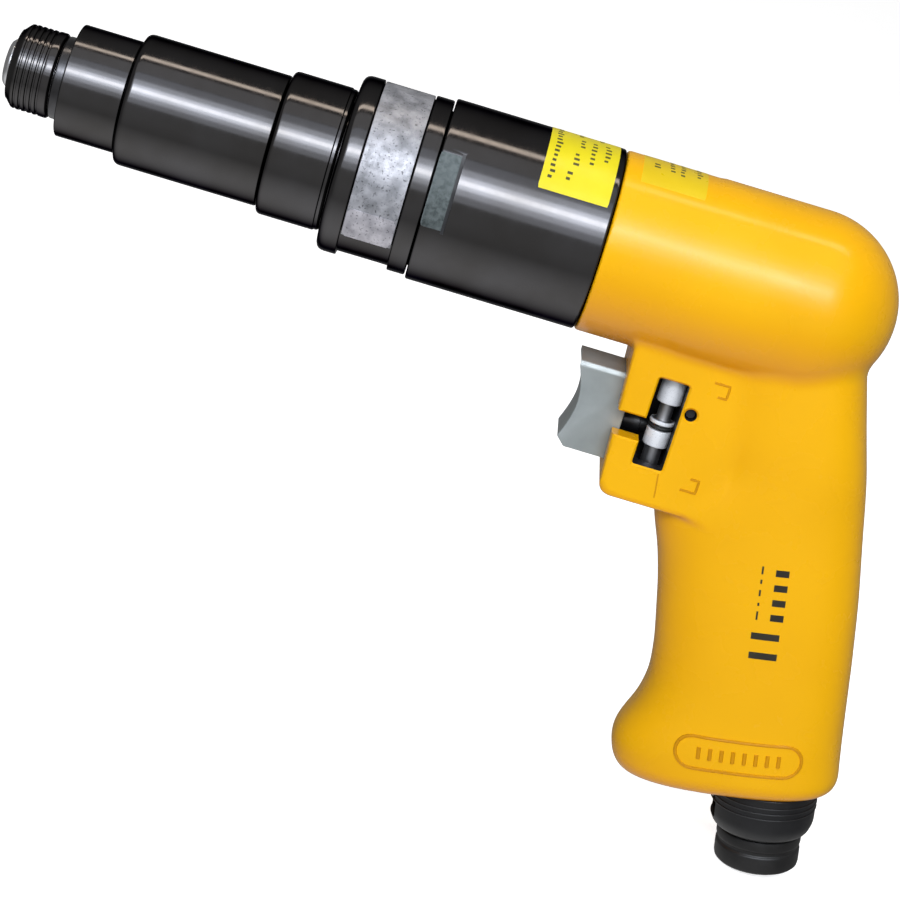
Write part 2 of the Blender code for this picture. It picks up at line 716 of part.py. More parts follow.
# ---- planetary gears -------------------------------------------------------
PLANET_ORBIT = MODULE * (SUN_TEETH + PLANET_TEETH) / 2
PLANET_2_X = CARRIER_2_X + CARRIER_PLATE + FIT
CARRIER_1_X = PLANET_2_X + GEAR_WIDTH + 1.0
PLANET_1_X = CARRIER_1_X + CARRIER_PLATE + FIT
GEARS_END = PLANET_1_X + GEAR_WIDTH
RING_GEAR_X = HOUSING_X + CLUTCH_HOUSING_LENGTH + HOUSING_SPIGOT_LENGTH + FIT


def make_carrier(name, x):
    """A carrier plate with three pins behind it, which the planets turn on."""
    carrier = turned(name, rod(x, x + CARRIER_PLATE, CARRIER_R), SATIN_STEEL)
    for i, angle in enumerate(around(PLANETS)):
        y, z = polar(PLANET_ORBIT, angle)
        pin_end = x + CARRIER_PLATE + FIT + GEAR_WIDTH
        pin = spun(rod(x + CARRIER_PLATE / 2, pin_end, PLANET_PIN_R), TINY)
        join(carrier, f"{name}_pin_{i + 1}", pin, location=(0, y, z))
    return carrier


def make_planets(stage, x):
    for i, angle in enumerate(around(PLANETS)):
        y, z = polar(PLANET_ORBIT, angle)
        facing = angle + pi - pi / PLANET_TEETH
        teeth = extruded(external_gear(PLANET_TEETH, facing), 0, GEAR_WIDTH)
        planet = finish(f"planet_{stage}_{i + 1}", teeth, SATIN_STEEL, spindle_axis, (x, y, z))
        bore = spun(rod(-OVERCUT, GEAR_WIDTH + OVERCUT, PLANET_PIN_R + FIT), TINY)
        cut(planet, f"planet_{stage}_{i + 1}_bore", bore, location=(x, y, z))


def make_gears():
    output = make_carrier("output_carrier", CARRIER_2_X)
    hub = spun(rod(HUB_X, CARRIER_2_X + 1.0, HUB_R), COARSE)
    join(output, "output_carrier_hub", hub)
    socket = extruded(polygon(6, HUB_SOCKET_R + FIT / cos(pi / 6)), HUB_X - OVERCUT, CARRIER_2_X)
    cut(output, "output_carrier_socket", socket)

    middle = make_carrier("middle_carrier", CARRIER_1_X)
    sun = extruded(external_gear(SUN_TEETH), PLANET_2_X, CARRIER_1_X + 1.0)
    join(middle, "middle_carrier_sun", sun)

    make_planets("output", PLANET_2_X)
    make_planets("motor", PLANET_1_X)

    gear = turned(
        "ring_gear", rod(RING_GEAR_X, GEARS_END + 1.0, RING_GEAR_R), SATIN_STEEL
    )
    spaces = internal_gear_cutter(RING_TEETH, 0.0)
    cut(gear, "ring_gear_cutter", extruded(spaces, RING_GEAR_X - OVERCUT, GEARS_END + OVERCUT))
    turned(
        "carrier_bearing",
        ring(
            CARRIER_BEARING_X, CARRIER_BEARING_X + CARRIER_BEARING_WIDTH,
            HUB_R + FIT, HOUSING_BORE_R - FIT, 0.4,
        ),
        BRIGHT_STEEL, segments=MEDIUM,
    )


# ---- motor housing and air motor -------------------------------------------
SPIGOT_END = BARREL_X - FIT + BARREL_SPIGOT_LENGTH
LINER_X = SPIGOT_END + 2 * FIT
PLATE_X = SPIGOT_END - END_PLATE_WIDTH
BORE_END = DOME_X + MOTOR_BORE_END
REAR_PLATE_X = BORE_END - 3.0 - END_PLATE_WIDTH
LINER_END = REAR_PLATE_X - FIT
LINER_R = MOTOR_BORE_R - FIT
LINER_BORE_R = ROTOR_R + ROTOR_ECCENTRICITY + FIT
BEARING_POCKET = ROTOR_BEARING_WIDTH + FIT


def make_motor_housing():
    end = BARREL_X - FIT
    r = MOTOR_HOUSING_R
    step = RING_GEAR_X - FIT / 2
    seat = GEARS_END + 1.0 + FIT
    housing = turned(
        "motor_housing",
        [
            (MOTOR_X, HOUSING_SPIGOT_R + FIT), (MOTOR_X, r - 0.5), (MOTOR_X + 0.5, r),
            (end - 0.5, r), (end, r - 0.5), (end, BARREL_SPIGOT_R),
            (SPIGOT_END, BARREL_SPIGOT_R), (SPIGOT_END, SPIGOT_BORE_R),
            (seat, SPIGOT_BORE_R), (seat, RING_GEAR_R + FIT), (step, RING_GEAR_R + FIT),
            (step, HOUSING_SPIGOT_R + FIT),
        ],
        BLACK_STEEL, segments=FINE,
    )
    for side, name in ((-1, "left"), (1, "right")):
        near, far = sorted((side * WRENCH_FLATS / 2, side * (r + OVERCUT)))
        flat = box(MOTOR_X - OVERCUT, MOTOR_X + WRENCH_FLAT_LENGTH, near, far, -r, r)
        turn = Matrix.Rotation(-WRENCH_FLAT_TURN, 3, "X")
        bmesh.ops.rotate(flat, matrix=turn, verts=flat.verts)
        cut(housing, f"{name}_flat_cutter", flat)


def make_air_motor():
    shaft_hole = ROTOR_SHAFT_R + FIT
    pocket_r = ROTOR_BEARING_R + FIT
    plate_end = SPIGOT_END - FIT
    turned(
        "front_end_plate",
        [
            (PLATE_X, pocket_r), (PLATE_X, SPIGOT_BORE_R - FIT),
            (plate_end, SPIGOT_BORE_R - FIT), (plate_end, shaft_hole),
            (PLATE_X + BEARING_POCKET, shaft_hole), (PLATE_X + BEARING_POCKET, pocket_r),
        ],
        SATIN_STEEL,
    )
    turned(
        "rotor_front_bearing",
        ring(PLATE_X, PLATE_X + ROTOR_BEARING_WIDTH, shaft_hole, ROTOR_BEARING_R, 0.3),
        BRIGHT_STEEL, segments=COARSE,
    )
    rear_end = REAR_PLATE_X + END_PLATE_WIDTH
    rear_pocket = rear_end - BEARING_POCKET
    turned(
        "rear_end_plate",
        [
            (REAR_PLATE_X, shaft_hole), (REAR_PLATE_X, LINER_R), (rear_end, LINER_R),
            (rear_end, pocket_r), (rear_pocket, pocket_r), (rear_pocket, shaft_hole),
        ],
        SATIN_STEEL,
    )
    turned(
        "rotor_rear_bearing",
        ring(rear_pocket + FIT, rear_end, shaft_hole, ROTOR_BEARING_R, 0.3),
        BRIGHT_STEEL, segments=COARSE,
    )
    liner = turned("cylinder_liner", rod(LINER_X, LINER_END, LINER_R), SATIN_STEEL)
    bore = spun(rod(LINER_X - OVERCUT, LINER_END + OVERCUT, LINER_BORE_R), MEDIUM)
    cut(liner, "liner_bore_cutter", bore, location=(0, 0, ROTOR_ECCENTRICITY))
    ports = ((FEED_X, 0.0, PORT_R), (GALLERY_X + EXHAUST_R + 1.0, EXHAUST_SIDE, EXHAUST_R))
    for i, (x, y, r) in enumerate(ports):
        port = spun(rod(0, LINER_R + OVERCUT, r), TINY)
        cut(liner, f"liner_port_cutter_{i + 1}", port, location=(x, y, 0), rotation=(0, pi / 2, 0))

    body_x = LINER_X + FIT
    body_end = LINER_END - FIT
    sun_x = PLANET_1_X + FIT
    rotor = turned(
        "rotor",
        [
            (sun_x + GEAR_WIDTH, 0.0), (sun_x + GEAR_WIDTH, ROTOR_SHAFT_R),
            (body_x, ROTOR_SHAFT_R), (body_x, ROTOR_R), (body_end, ROTOR_R),
            (body_end, ROTOR_SHAFT_R), (rear_end, ROTOR_SHAFT_R), (rear_end, 0.0),
        ],
        SATIN_STEEL,
    )
    join(rotor, "rotor_sun", extruded(external_gear(SUN_TEETH), sun_x, sun_x + GEAR_WIDTH + 1.0))
    slot_floor = ROTOR_R - VANE_HEIGHT - 2 * FIT
    half = VANE_THICKNESS / 2
    for i, angle in enumerate(around(VANES)):
        slot = box(
            body_x - FIT / 2, body_end + FIT / 2, -half - FIT, half + FIT,
            slot_floor, ROTOR_R + OVERCUT,
        )
        cut(rotor, f"vane_slot_cutter_{i + 1}", slot, rotation=(-angle, 0, 0))
        blade = box(
            body_x, body_end, -half, half, slot_floor + FIT, ROTOR_R - FIT
        )
        finish(f"vane_{i + 1}", blade, VANE_RESIN, spindle_axis, rotation=(-angle, 0, 0))


# ---- handle ----------------------------------------------------------------
AXIS_X = DOME_X + HANDLE_BACKSET  # where the inlet axis meets the spindle axis
FEED_X = CHAMBER_X + 3.0  # the port that carries air up to the motor
GALLERY_X = CHAMBER_X + 1.0  # front of the gallery that collects the exhaust
GALLERY_END = AXIS_X - EXHAUST_FORWARD + MOTOR_BORE_R * tan(HANDLE_TILT)
INLET_TOP = -ROD_Z / cos(HANDLE_TILT)  # down the handle, where it meets the valve chamber


def handle_section(front, back, half_width):
    """The handle's section, as (y, z) in the handle's frame: z runs to its back."""
    middle = (front + back) / 2
    reach = (back - front) / 2
    points = []
    for angle in around(HANDLE_SEGMENTS):
        c, s = cos(angle), sin(angle)
        along = abs(c) ** (2 / HANDLE_SQUARENESS) * (1 if c > 0 else -1)
        across = abs(s) ** (2 / HANDLE_SQUARENESS) * (1 if s > 0 else -1)
        width = half_width * (1 + HANDLE_EGG * along)
        points.append((width * across, middle + reach * along))
    return points


def handle_grip():
    bm = bmesh.new()
    loops = []
    for share, front, back, half_width in HANDLE_SECTIONS:
        x = share * HANDLE_LENGTH
        section = handle_section(front, back, half_width)
        loops.append([bm.verts.new((x, y, z)) for y, z in section])
    for above, below in zip(loops, loops[1:]):
        for i in range(HANDLE_SEGMENTS):
            j = (i + 1) % HANDLE_SEGMENTS
            bm.faces.new((above[i], above[j], below[j], below[i]))
    bm.faces.new(loops[0])
    bm.faces.new(loops[-1])
    return bm


def trigger_block():
    """The flat-sided block that holds the trigger and the reversing spool."""
    corner = 1.6
    outline = [
        (BLOCK_X, -MOTOR_BORE_R), (BLOCK_X, -24.0),
        (BLOCK_X + BLOCK_RAKE, BLOCK_BOTTOM + corner),
        (BLOCK_X + BLOCK_RAKE + corner, BLOCK_BOTTOM), (BLOCK_BACK, BLOCK_BOTTOM),
        (BLOCK_BACK, -MOTOR_BORE_R),
    ]
    return extruded_side(outline, -BLOCK_HALF_WIDTH, BLOCK_HALF_WIDTH)


def barrel_profile():
    dome = []
    steps = 8
    for i in range(steps + 1):
        turn = pi / 2 * i / steps
        dome.append((DOME_X + BARREL_R * sin(turn), BARREL_R * cos(turn)))
    return [(BARREL_X, 0.0), (BARREL_X, BARREL_R - 0.5), (BARREL_X + 0.5, BARREL_R)] + dome[:-1] + [
        (DOME_X + BARREL_R, 0.0)
    ]


def make_handle_body():
    body = turned("handle_body", barrel_profile(), YELLOW_PAINT, segments=FINE)
    join(body, "grip", handle_grip(), handle_axis)
    join(body, "block", trigger_block())

    counterbore = BARREL_SPIGOT_R + FIT
    bore = [
        (BARREL_X - OVERCUT, 0.0), (BARREL_X - OVERCUT, counterbore),
        (SPIGOT_END + FIT, counterbore), (SPIGOT_END + FIT, MOTOR_BORE_R),
        (BORE_END, MOTOR_BORE_R), (BORE_END, 0.0),
    ]
    cut(body, "motor_bore_cutter", spun(bore, FINE))

    side = BLOCK_HALF_WIDTH + 6.0
    window_end = WINDOW_X + WINDOW_LENGTH
    window = box(WINDOW_X, window_end, -side, TRIGGER_HALF_WIDTH, WINDOW_BOTTOM, WINDOW_TOP)
    cut(body, "reverse_window", window)
    front = BLOCK_X - OVERCUT
    cut(body, "rod_slot", box(front, WINDOW_X + 1.0, -side, 0.0, SLOT_BOTTOM, SLOT_TOP))
    half = TRIGGER_HALF_WIDTH + SLIDE
    pocket_end = WINDOW_X + 0.5
    pocket = box(front, pocket_end, -half, half, TRIGGER_BOTTOM - SLIDE, TRIGGER_TOP + SLIDE)
    cut(body, "trigger_pocket", pocket)

    stem = [
        (SPOOL_TOP - FIT, 0.0), (SPOOL_TOP - FIT, SPOOL_STEM_R + FIT),
        (-WINDOW_TOP + 1.0, SPOOL_STEM_R + FIT), (-WINDOW_TOP + 1.0, SPOOL_R + FIT),
        (-BLOCK_BOTTOM + OVERCUT, SPOOL_R + FIT), (-BLOCK_BOTTOM + OVERCUT, 0.0),
    ]
    cut(body, "spool_bore", spun(stem, COARSE), spool_axis)
    rod_bore = spun(rod(window_end - 1.0, CHAMBER_X + 1.0, ROD_R + FIT), TINY)
    cut(body, "rod_bore", rod_bore, location=(0, 0, ROD_Z))
    chamber = spun(rod(CHAMBER_X, CHAMBER_X + CHAMBER_LENGTH, CHAMBER_R), COARSE)
    cut(body, "valve_chamber", chamber, location=(0, 0, ROD_Z))
    feed = spun(rod(MOTOR_BORE_R - 1.0, -ROD_Z, PORT_R), TINY)
    cut(body, "motor_feed", feed, location=(FEED_X, 0, 0), rotation=(0, pi / 2, 0))
    pin_hole = spun(rod(-side - OVERCUT, side + OVERCUT, PIN_R + FIT), TINY)
    cut(body, "pin_hole", pin_hole, location=(PIN_X, 0, PIN_Z), rotation=(0, 0, pi / 2))

    thread_top = HANDLE_LENGTH - INLET_THREAD_LENGTH - FIT
    inlet = [
        (INLET_TOP, 0.0), (INLET_TOP, PASSAGE_R), (thread_top, PASSAGE_R),
        (thread_top, INLET_THREAD_R + FIT), (HANDLE_LENGTH + OVERCUT, INLET_THREAD_R + FIT),
        (HANDLE_LENGTH + OVERCUT, 0.0),
    ]
    cut(body, "inlet_bore", spun(inlet, COARSE), handle_axis)
    recess = ring(HANDLE_LENGTH - MUFFLER_DEPTH, HANDLE_LENGTH + OVERCUT, MUFFLER_R_IN, MUFFLER_R_OUT)
    cut(body, "muffler_recess", spun(recess, MEDIUM), handle_axis)
    gallery = box(
        GALLERY_X, GALLERY_END, EXHAUST_SIDE - EXHAUST_R, EXHAUST_SIDE + 1.2,
        -MOTOR_BORE_R - 1.0, -MOTOR_BORE_R + 6.0,
    )
    cut(body, "exhaust_gallery", gallery)
    exhaust = spun(rod(12.0, HANDLE_LENGTH - MUFFLER_DEPTH + 1.0, EXHAUST_R), TINY)
    cut(body, "exhaust_bore", exhaust, handle_axis, location=(0, EXHAUST_SIDE, -EXHAUST_FORWARD))


# ---- trigger, valve and reversing spool ------------------------------------
SPOOL_TOP = -WINDOW_TOP + 0.5 - SPOOL_STEM_UP
BUSH_X = CHAMBER_X + FIT
VALVE_HEAD_X = BUSH_X + BUSH_LENGTH + FIT
ROD_END = CHAMBER_X - FIT


def make_trigger():
    """The trigger and its rod, in the frame of the trigger's own axis."""
    rear = TRIGGER_REAR_X - TRIGGER_X
    top = TRIGGER_TOP - ROD_Z
    bottom = TRIGGER_BOTTOM - ROD_Z
    lip = 2.2
    steps = 8
    curve = []
    for i in range(steps + 1):
        share = i / steps
        z = bottom + lip + (top - bottom - lip) * share
        curve.append((TRIGGER_HOLLOW * sin(pi * share), z))
    outline = curve + [(rear, top), (rear, bottom), (lip, bottom)]
    bm = extruded_side(outline, -TRIGGER_HALF_WIDTH, TRIGGER_HALF_WIDTH)
    trigger = finish("trigger", bm, GREY_TRIGGER, trigger_axis)
    bevel = trigger.modifiers.new("soft_edges", "BEVEL")
    bevel.width = 0.6 * MM
    bevel.segments = 1
    bevel.limit_method = "ANGLE"
    bevel.angle_limit = radians(50)

    head_x = TRIGGER_REAR_X + FIT - TRIGGER_X
    step = WINDOW_X - TRIGGER_X
    end = ROD_END - TRIGGER_X
    turned(
        "push_rod",
        [
            (head_x, 0.0), (head_x, ROD_HEAD_R), (step, ROD_HEAD_R), (step, ROD_R),
            (end, ROD_R), (end, 0.0),
        ],
        BLACK_PLASTIC, trigger_axis, COARSE,
    )
    stem_x = ROD_END + FIT - TRIGGER_X
    valve_x = VALVE_HEAD_X - TRIGGER_X
    head_end = valve_x + VALVE_HEAD_WIDTH
    tail = head_end + VALVE_TAIL
    turned(
        "throttle_valve",
        [
            (stem_x, 0.0), (stem_x, VALVE_STEM_R), (valve_x, VALVE_STEM_R),
            (valve_x, VALVE_HEAD_R - 1.0), (valve_x + 1.0, VALVE_HEAD_R),
            (head_end, VALVE_HEAD_R), (head_end, VALVE_STEM_R), (tail, VALVE_STEM_R),
            (tail, 0.0),
        ],
        BRASS, trigger_axis, COARSE,
    )
    spring_end = CHAMBER_X + CHAMBER_LENGTH - FIT - TRIGGER_X
    coil_spring(
        "valve_spring", head_end + FIT, spring_end, VALVE_SPRING_R, VALVE_WIRE_R, 5,
        trigger_axis,
    )
    bush = turned(
        "valve_bush",
        ring(BUSH_X, BUSH_X + BUSH_LENGTH, BUSH_BORE_R, CHAMBER_R - FIT),
        BRASS, segments=COARSE, location=(0, 0, ROD_Z),
    )
    feed = spun(rod(0, CHAMBER_R + OVERCUT, PORT_R - FIT), TINY)
    cut(bush, "bush_port", feed, location=(FEED_X, 0, ROD_Z), rotation=(0, -pi / 2, 0))


def make_spool():
    """The spool, its seal and the pin beside it. Local X runs down the spool."""
    land = -WINDOW_TOP + 0.5
    land_end = land + SPOOL_LAND
    lower = land_end + SPOOL_NECK
    lower_end = lower + SPOOL_LOWER_LAND
    groove = lower + 1.0
    groove_end = groove + 2 * SEAL_WIRE_R + 2 * FIT
    groove_r = SEAL_R - SEAL_WIRE_R - FIT
    foot = -BLOCK_BOTTOM - SPOOL_TRAVEL - 2 * FIT
    turned(
        "reverse_spool",
        [
            (SPOOL_TOP, 0.0), (SPOOL_TOP, SPOOL_STEM_R), (land, SPOOL_STEM_R),
            (land, SPOOL_R), (land_end, SPOOL_R), (land_end, SPOOL_NECK_R),
            (lower, SPOOL_NECK_R), (lower, SPOOL_R), (groove, SPOOL_R), (groove, groove_r),
            (groove_end, groove_r), (groove_end, SPOOL_R), (lower_end, SPOOL_R),
            (lower_end, SPOOL_STEM_R), (foot, SPOOL_STEM_R), (foot, 0.0),
        ],
        BRIGHT_STEEL, spool_axis, COARSE,
    )
    middle = (groove + groove_end) / 2
    circle = []
    for angle in around(6):
        circle.append((middle + SEAL_WIRE_R * sin(angle), SEAL_R + SEAL_WIRE_R * cos(angle)))
    turned("spool_seal", circle, RUBBER, spool_axis, COARSE)
    turned(
        "spool_pin", rod(-BLOCK_HALF_WIDTH + PIN_RECESS, BLOCK_HALF_WIDTH - PIN_RECESS, PIN_R),
        BRIGHT_STEEL, segments=TINY, location=(PIN_X, 0, PIN_Z), rotation=(0, 0, pi / 2),
    )


# ---- air inlet and exhaust -------------------------------------------------
def make_inlet():
    base = HANDLE_LENGTH
    top = base - INLET_THREAD_LENGTH
    end = base + INLET_LENGTH
    deflector_x = base + FIT
    floor = deflector_x + DEFLECTOR_HEIGHT
    shoulder = floor + FIT
    turned(
        "inlet_bushing",
        [
            (top, INLET_BORE_R), (top, INLET_THREAD_R), (base + FIT, INLET_THREAD_R),
            (base + FIT, INLET_NECK_R), (shoulder, INLET_NECK_R), (shoulder, INLET_R - 0.5),
            (shoulder + 0.5, INLET_R), (end - 0.8, INLET_R), (end, INLET_R - 0.8),
            (end, INLET_BORE_R),
        ],
        BLACK_STEEL, handle_axis, MEDIUM,
    )
    screen = turned(
        "inlet_screen", rod(top + 1.0, top + 2.0, INLET_BORE_R - FIT), BRASS, handle_axis, COARSE
    )
    for i, angle in enumerate(around(6)):
        y, z = polar(INLET_BORE_R * 0.55, angle)
        hole = spun(rod(top, top + 3.0, 0.9), 6)
        cut(screen, f"screen_hole_{i + 1}", hole, handle_axis, location=(0, y, z))
    rim = DEFLECTOR_R - DEFLECTOR_WALL
    deflector = turned(
        "exhaust_deflector",
        [
            (deflector_x, rim), (deflector_x, DEFLECTOR_R), (floor - 2.4, DEFLECTOR_R),
            (floor - 0.7, DEFLECTOR_R - 0.7), (floor, DEFLECTOR_R - 2.4),
            (floor, INLET_NECK_R + FIT), (floor - DEFLECTOR_WALL, INLET_NECK_R + FIT),
            (floor - DEFLECTOR_WALL, rim),
        ],
        BLACK_PLASTIC, handle_axis, MEDIUM,
    )
    slot = box(
        deflector_x + 4.0, floor - 2.6, -DEFLECTOR_SLOT / 2, DEFLECTOR_SLOT / 2,
        -DEFLECTOR_R - OVERCUT, -rim + OVERCUT,
    )
    cut(deflector, "exhaust_slot", slot, handle_axis)
    turned(
        "muffler_felt",
        ring(
            base - MUFFLER_DEPTH + FIT, base - FIT, MUFFLER_R_IN + FIT, MUFFLER_R_OUT - FIT
        ),
        FELT, handle_axis, MEDIUM,
    )


make_output_spindle()
make_chuck()
make_nose()
make_clutch_housing()
make_cover_band()
make_clutch()
make_gears()
make_motor_housing()
make_air_motor()
make_handle_body()
make_trigger()
make_spool()
make_inlet()
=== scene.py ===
"""Looks for the pistol-grip air screwdriver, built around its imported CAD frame.

World frame: the spindle lies along X with its bit socket towards -X, +Z is up and the
handle hangs down. Lengths below are in millimetres and are turned into metres by MM.
Stations come from the boxes of the CAD nodes and from the record's joints.
"""

import json
from math import atan2, cos, pi, radians, sin, sqrt, tan

import bmesh
import bpy
import numpy as np
from mathutils import Matrix, Vector


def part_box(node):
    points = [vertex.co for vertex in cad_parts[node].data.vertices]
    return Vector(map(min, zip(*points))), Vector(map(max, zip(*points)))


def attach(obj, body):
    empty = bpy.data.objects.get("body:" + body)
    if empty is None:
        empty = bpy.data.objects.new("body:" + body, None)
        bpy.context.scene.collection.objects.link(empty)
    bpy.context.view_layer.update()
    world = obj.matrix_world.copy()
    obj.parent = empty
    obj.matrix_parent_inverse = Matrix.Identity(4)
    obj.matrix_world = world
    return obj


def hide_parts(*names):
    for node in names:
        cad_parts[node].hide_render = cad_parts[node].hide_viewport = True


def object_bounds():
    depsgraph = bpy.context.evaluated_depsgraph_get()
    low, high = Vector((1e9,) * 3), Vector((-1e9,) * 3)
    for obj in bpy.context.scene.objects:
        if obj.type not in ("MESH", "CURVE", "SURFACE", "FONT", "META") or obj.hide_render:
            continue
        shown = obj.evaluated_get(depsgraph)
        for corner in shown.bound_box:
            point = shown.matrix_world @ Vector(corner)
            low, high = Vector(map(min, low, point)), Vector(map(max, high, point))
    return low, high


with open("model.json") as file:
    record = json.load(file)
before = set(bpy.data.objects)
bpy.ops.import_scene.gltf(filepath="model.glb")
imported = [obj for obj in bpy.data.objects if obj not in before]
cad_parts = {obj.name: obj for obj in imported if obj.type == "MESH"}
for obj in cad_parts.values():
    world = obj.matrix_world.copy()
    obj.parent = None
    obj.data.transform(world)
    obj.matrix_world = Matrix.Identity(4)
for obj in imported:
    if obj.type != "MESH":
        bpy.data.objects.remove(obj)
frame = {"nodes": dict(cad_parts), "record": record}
cad_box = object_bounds()

MM = 0.001
NODES = frame["nodes"]
RECORD = frame["record"]
JOINTS = {joint["name"]: joint for joint in RECORD["behaviour"]["joints"]}
BODY_OF = {
    node: body for body, nodes in RECORD["behaviour"]["bodies"].items() for node in nodes
}
SLOT_OF = {part["node"]: part["material_slot"] for part in RECORD["subparts"]}


def span(node):
    """First and last station along the spindle, and the radius above its axis."""
    low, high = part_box(node)
    return low.x / MM, high.x / MM, high.z / MM


# ---- sizes -----------------------------------------------------------------
FIT = 0.3  # clearance between neighbouring turned pieces
BALL_STATION = 9.4  # from the spindle's nose back to the balls that lock the bit
HOUSING_R = 22.0
FLAT_REACH = 20.15  # from the spindle axis out to a wrench flat
FLAT_TURN = -13.0  # degrees; the left flat faces this far above level
BAND_GAP_LEFT, BAND_GAP_RIGHT = 53.5, 26.0  # degrees from straight down
TAB_START, TAB_END = -126.9, -104.5  # degrees from the top towards +Y
DOWN = Vector(JOINTS["deflector_turn"]["axis"]).normalized()
TILT = atan2(DOWN.x, -DOWN.z)
PIVOT = Vector(JOINTS["deflector_turn"]["pos_m"]) / MM
AXIS_X = PIVOT.x + PIVOT.z * tan(TILT)  # where the inlet axis meets the spindle axis
BACK = Vector((cos(TILT), 0.0, sin(TILT)))
HANDLE = Matrix.Translation((AXIS_X, 0, 0)) @ Matrix(
    ((DOWN.x, 0, BACK.x), (0, 1, 0), (DOWN.z, 0, BACK.z))
).to_4x4()
HANDLE_LENGTH = 122.5
BARREL_X = span("handle_body")[0]
BARREL_R = span("handle_body")[2]
MOUTH_EDGE = 0.9
DOME_X = BARREL_X + 50.3
CREASE_X = BARREL_X + 23.5  # the barrel is a little thinner in front of here
CREASE_WIDTH = 1.6
FRONT_R = BARREL_R - 0.22
BLOCK_X = BARREL_X + 14.7
BLOCK_RAKE = 1.9  # how far the block's front face leans between these two heights
RAKE_TOP, BLOCK_BOTTOM = -24.0, -56.5
BLOCK_BACK = BLOCK_X + 30.0
BLOCK_TOP = -8.0
BLOCK_HALF = 13.0
BLOCK_LOWER_EDGE, BLOCK_SIDE_EDGE = 3.4, 1.5
GRIP_TOP, GRIP_TOP_EDGE, FOOT_EDGE = 8.0, 1.0, 5.0
BARREL_BLEND, BLOCK_BLEND = 1.8, 1.6
# share of the handle's length, front edge, back edge and half width of the section
SECTIONS = (
    (0.05, -26.0, 9.5, 16.0),
    (0.135, -26.0, 10.9, 16.0),
    (0.22, -26.5, 12.2, 16.0),
    (0.33, -27.0, 14.1, 15.8),
    (0.40, -36.5, 14.8, 15.7),
    (0.445, -35.9, 15.1, 15.7),
    (0.52, -33.9, 15.8, 15.8),
    (0.59, -32.9, 16.4, 15.9),
    (0.72, -32.0, 16.9, 16.3),
    (0.79, -32.4, 17.0, 16.6),
    (0.85, -34.9, 17.1, 16.8),
    (0.887, -38.2, 17.2, 17.0),
    (0.92, -40.2, 17.3, 17.0),
    (0.954, -39.9, 17.5, 17.0),
    (1.0, -38.2, 17.7, 16.8),
)
SQUARENESS = 2.5  # 2 is an ellipse; more is squarer
EGG = 0.10  # the back of the grip is this share wider than its middle


# ---- materials -------------------------------------------------------------
def remap(tree, value, start, end, low, high):
    """A node output that runs from low to high while value runs from start to end."""
    made = tree.nodes.new("ShaderNodeMapRange")
    made.inputs["From Min"].default_value = start
    made.inputs["From Max"].default_value = end
    made.inputs["To Min"].default_value = low
    made.inputs["To Max"].default_value = high
    tree.links.new(value, made.inputs["Value"])
    return made.outputs["Result"]


class Shader:
    """A Principled material whose colour, roughness and bump vary over the surface."""

    def __init__(self, name, roughness, metallic=0.0, **sockets):
        self.material = bpy.data.materials.new(name)
        self.material.use_nodes = True
        self.tree = self.material.node_tree
        self.principled = self.tree.nodes["Principled BSDF"]
        self.principled.inputs["Metallic"].default_value = metallic
        self.principled.inputs["Roughness"].default_value = roughness
        for socket, value in sockets.items():
            self.principled.inputs[socket.replace("_", " ")].default_value = value
        coordinates = self.node("TexCoord")
        self.place = coordinates.outputs["Object"]
        self.normal_of_mesh = coordinates.outputs["Normal"]
        self.normal = None

    def node(self, kind):
        return self.tree.nodes.new("ShaderNode" + kind)

    def link(self, output, target):
        self.tree.links.new(output, target)

    def noise(self, size, detail=3.0, stretch=(1, 1, 1), distortion=0.0):
        """Noise whose blotches are about size millimetres across."""
        mapping = self.node("Mapping")
        mapping.inputs["Scale"].default_value = [1 / s for s in stretch]
        self.link(self.place, mapping.inputs["Vector"])
        made = self.node("TexNoise")
        made.inputs["Scale"].default_value = 1 / (size * MM)
        made.inputs["Detail"].default_value = detail
        made.inputs["Distortion"].default_value = distortion
        self.link(mapping.outputs["Vector"], made.inputs["Vector"])
        return made.outputs["Fac"]

    def ramp(self, fac, stops):
        made = self.node("ValToRGB")
        points = made.color_ramp.elements
        while len(points) < len(stops):
            points.new(0.5)
        for point, (place, colour) in zip(points, stops):
            point.position = place
            point.color = (*colour, 1.0)
        self.link(fac, made.inputs["Fac"])
        return made.outputs["Color"]

    def cloud(self, fac, low, high):
        """A colour that drifts between low and high."""
        return self.ramp(fac, ((0.3, low), (0.7, high)))

    def spots(self, fac, start, end, most):
        """A grey mask: black up to start and most from end on."""
        return self.ramp(fac, ((start, (0, 0, 0)), (end, (most, most, most))))

    def colour(self, output):
        self.link(output, self.principled.inputs["Base Color"])

    def mix(self, fac, first, second):
        made = self.node("Mix")
        made.data_type = "RGBA"
        self.link(fac, made.inputs["Factor"])
        self.link(first, made.inputs["A"])
        self.link(second, made.inputs["B"])
        return made.outputs["Result"]

    def rough(self, fac, low, high):
        spread = remap(self.tree, fac, 0.3, 0.7, low, high)
        self.link(spread, self.principled.inputs["Roughness"])

    def bump(self, height, depth, strength=0.5):
        """Adds a bump of about depth millimetres on top of the earlier ones."""
        made = self.node("Bump")
        made.inputs["Strength"].default_value = strength
        made.inputs["Distance"].default_value = depth * MM
        self.link(height, made.inputs["Height"])
        if self.normal:
            self.link(self.normal, made.inputs["Normal"])
        self.normal = made.outputs["Normal"]
        self.link(self.normal, self.principled.inputs["Normal"])


TURNED = (1, 40, 40)  # stretches noise into rings round the spindle


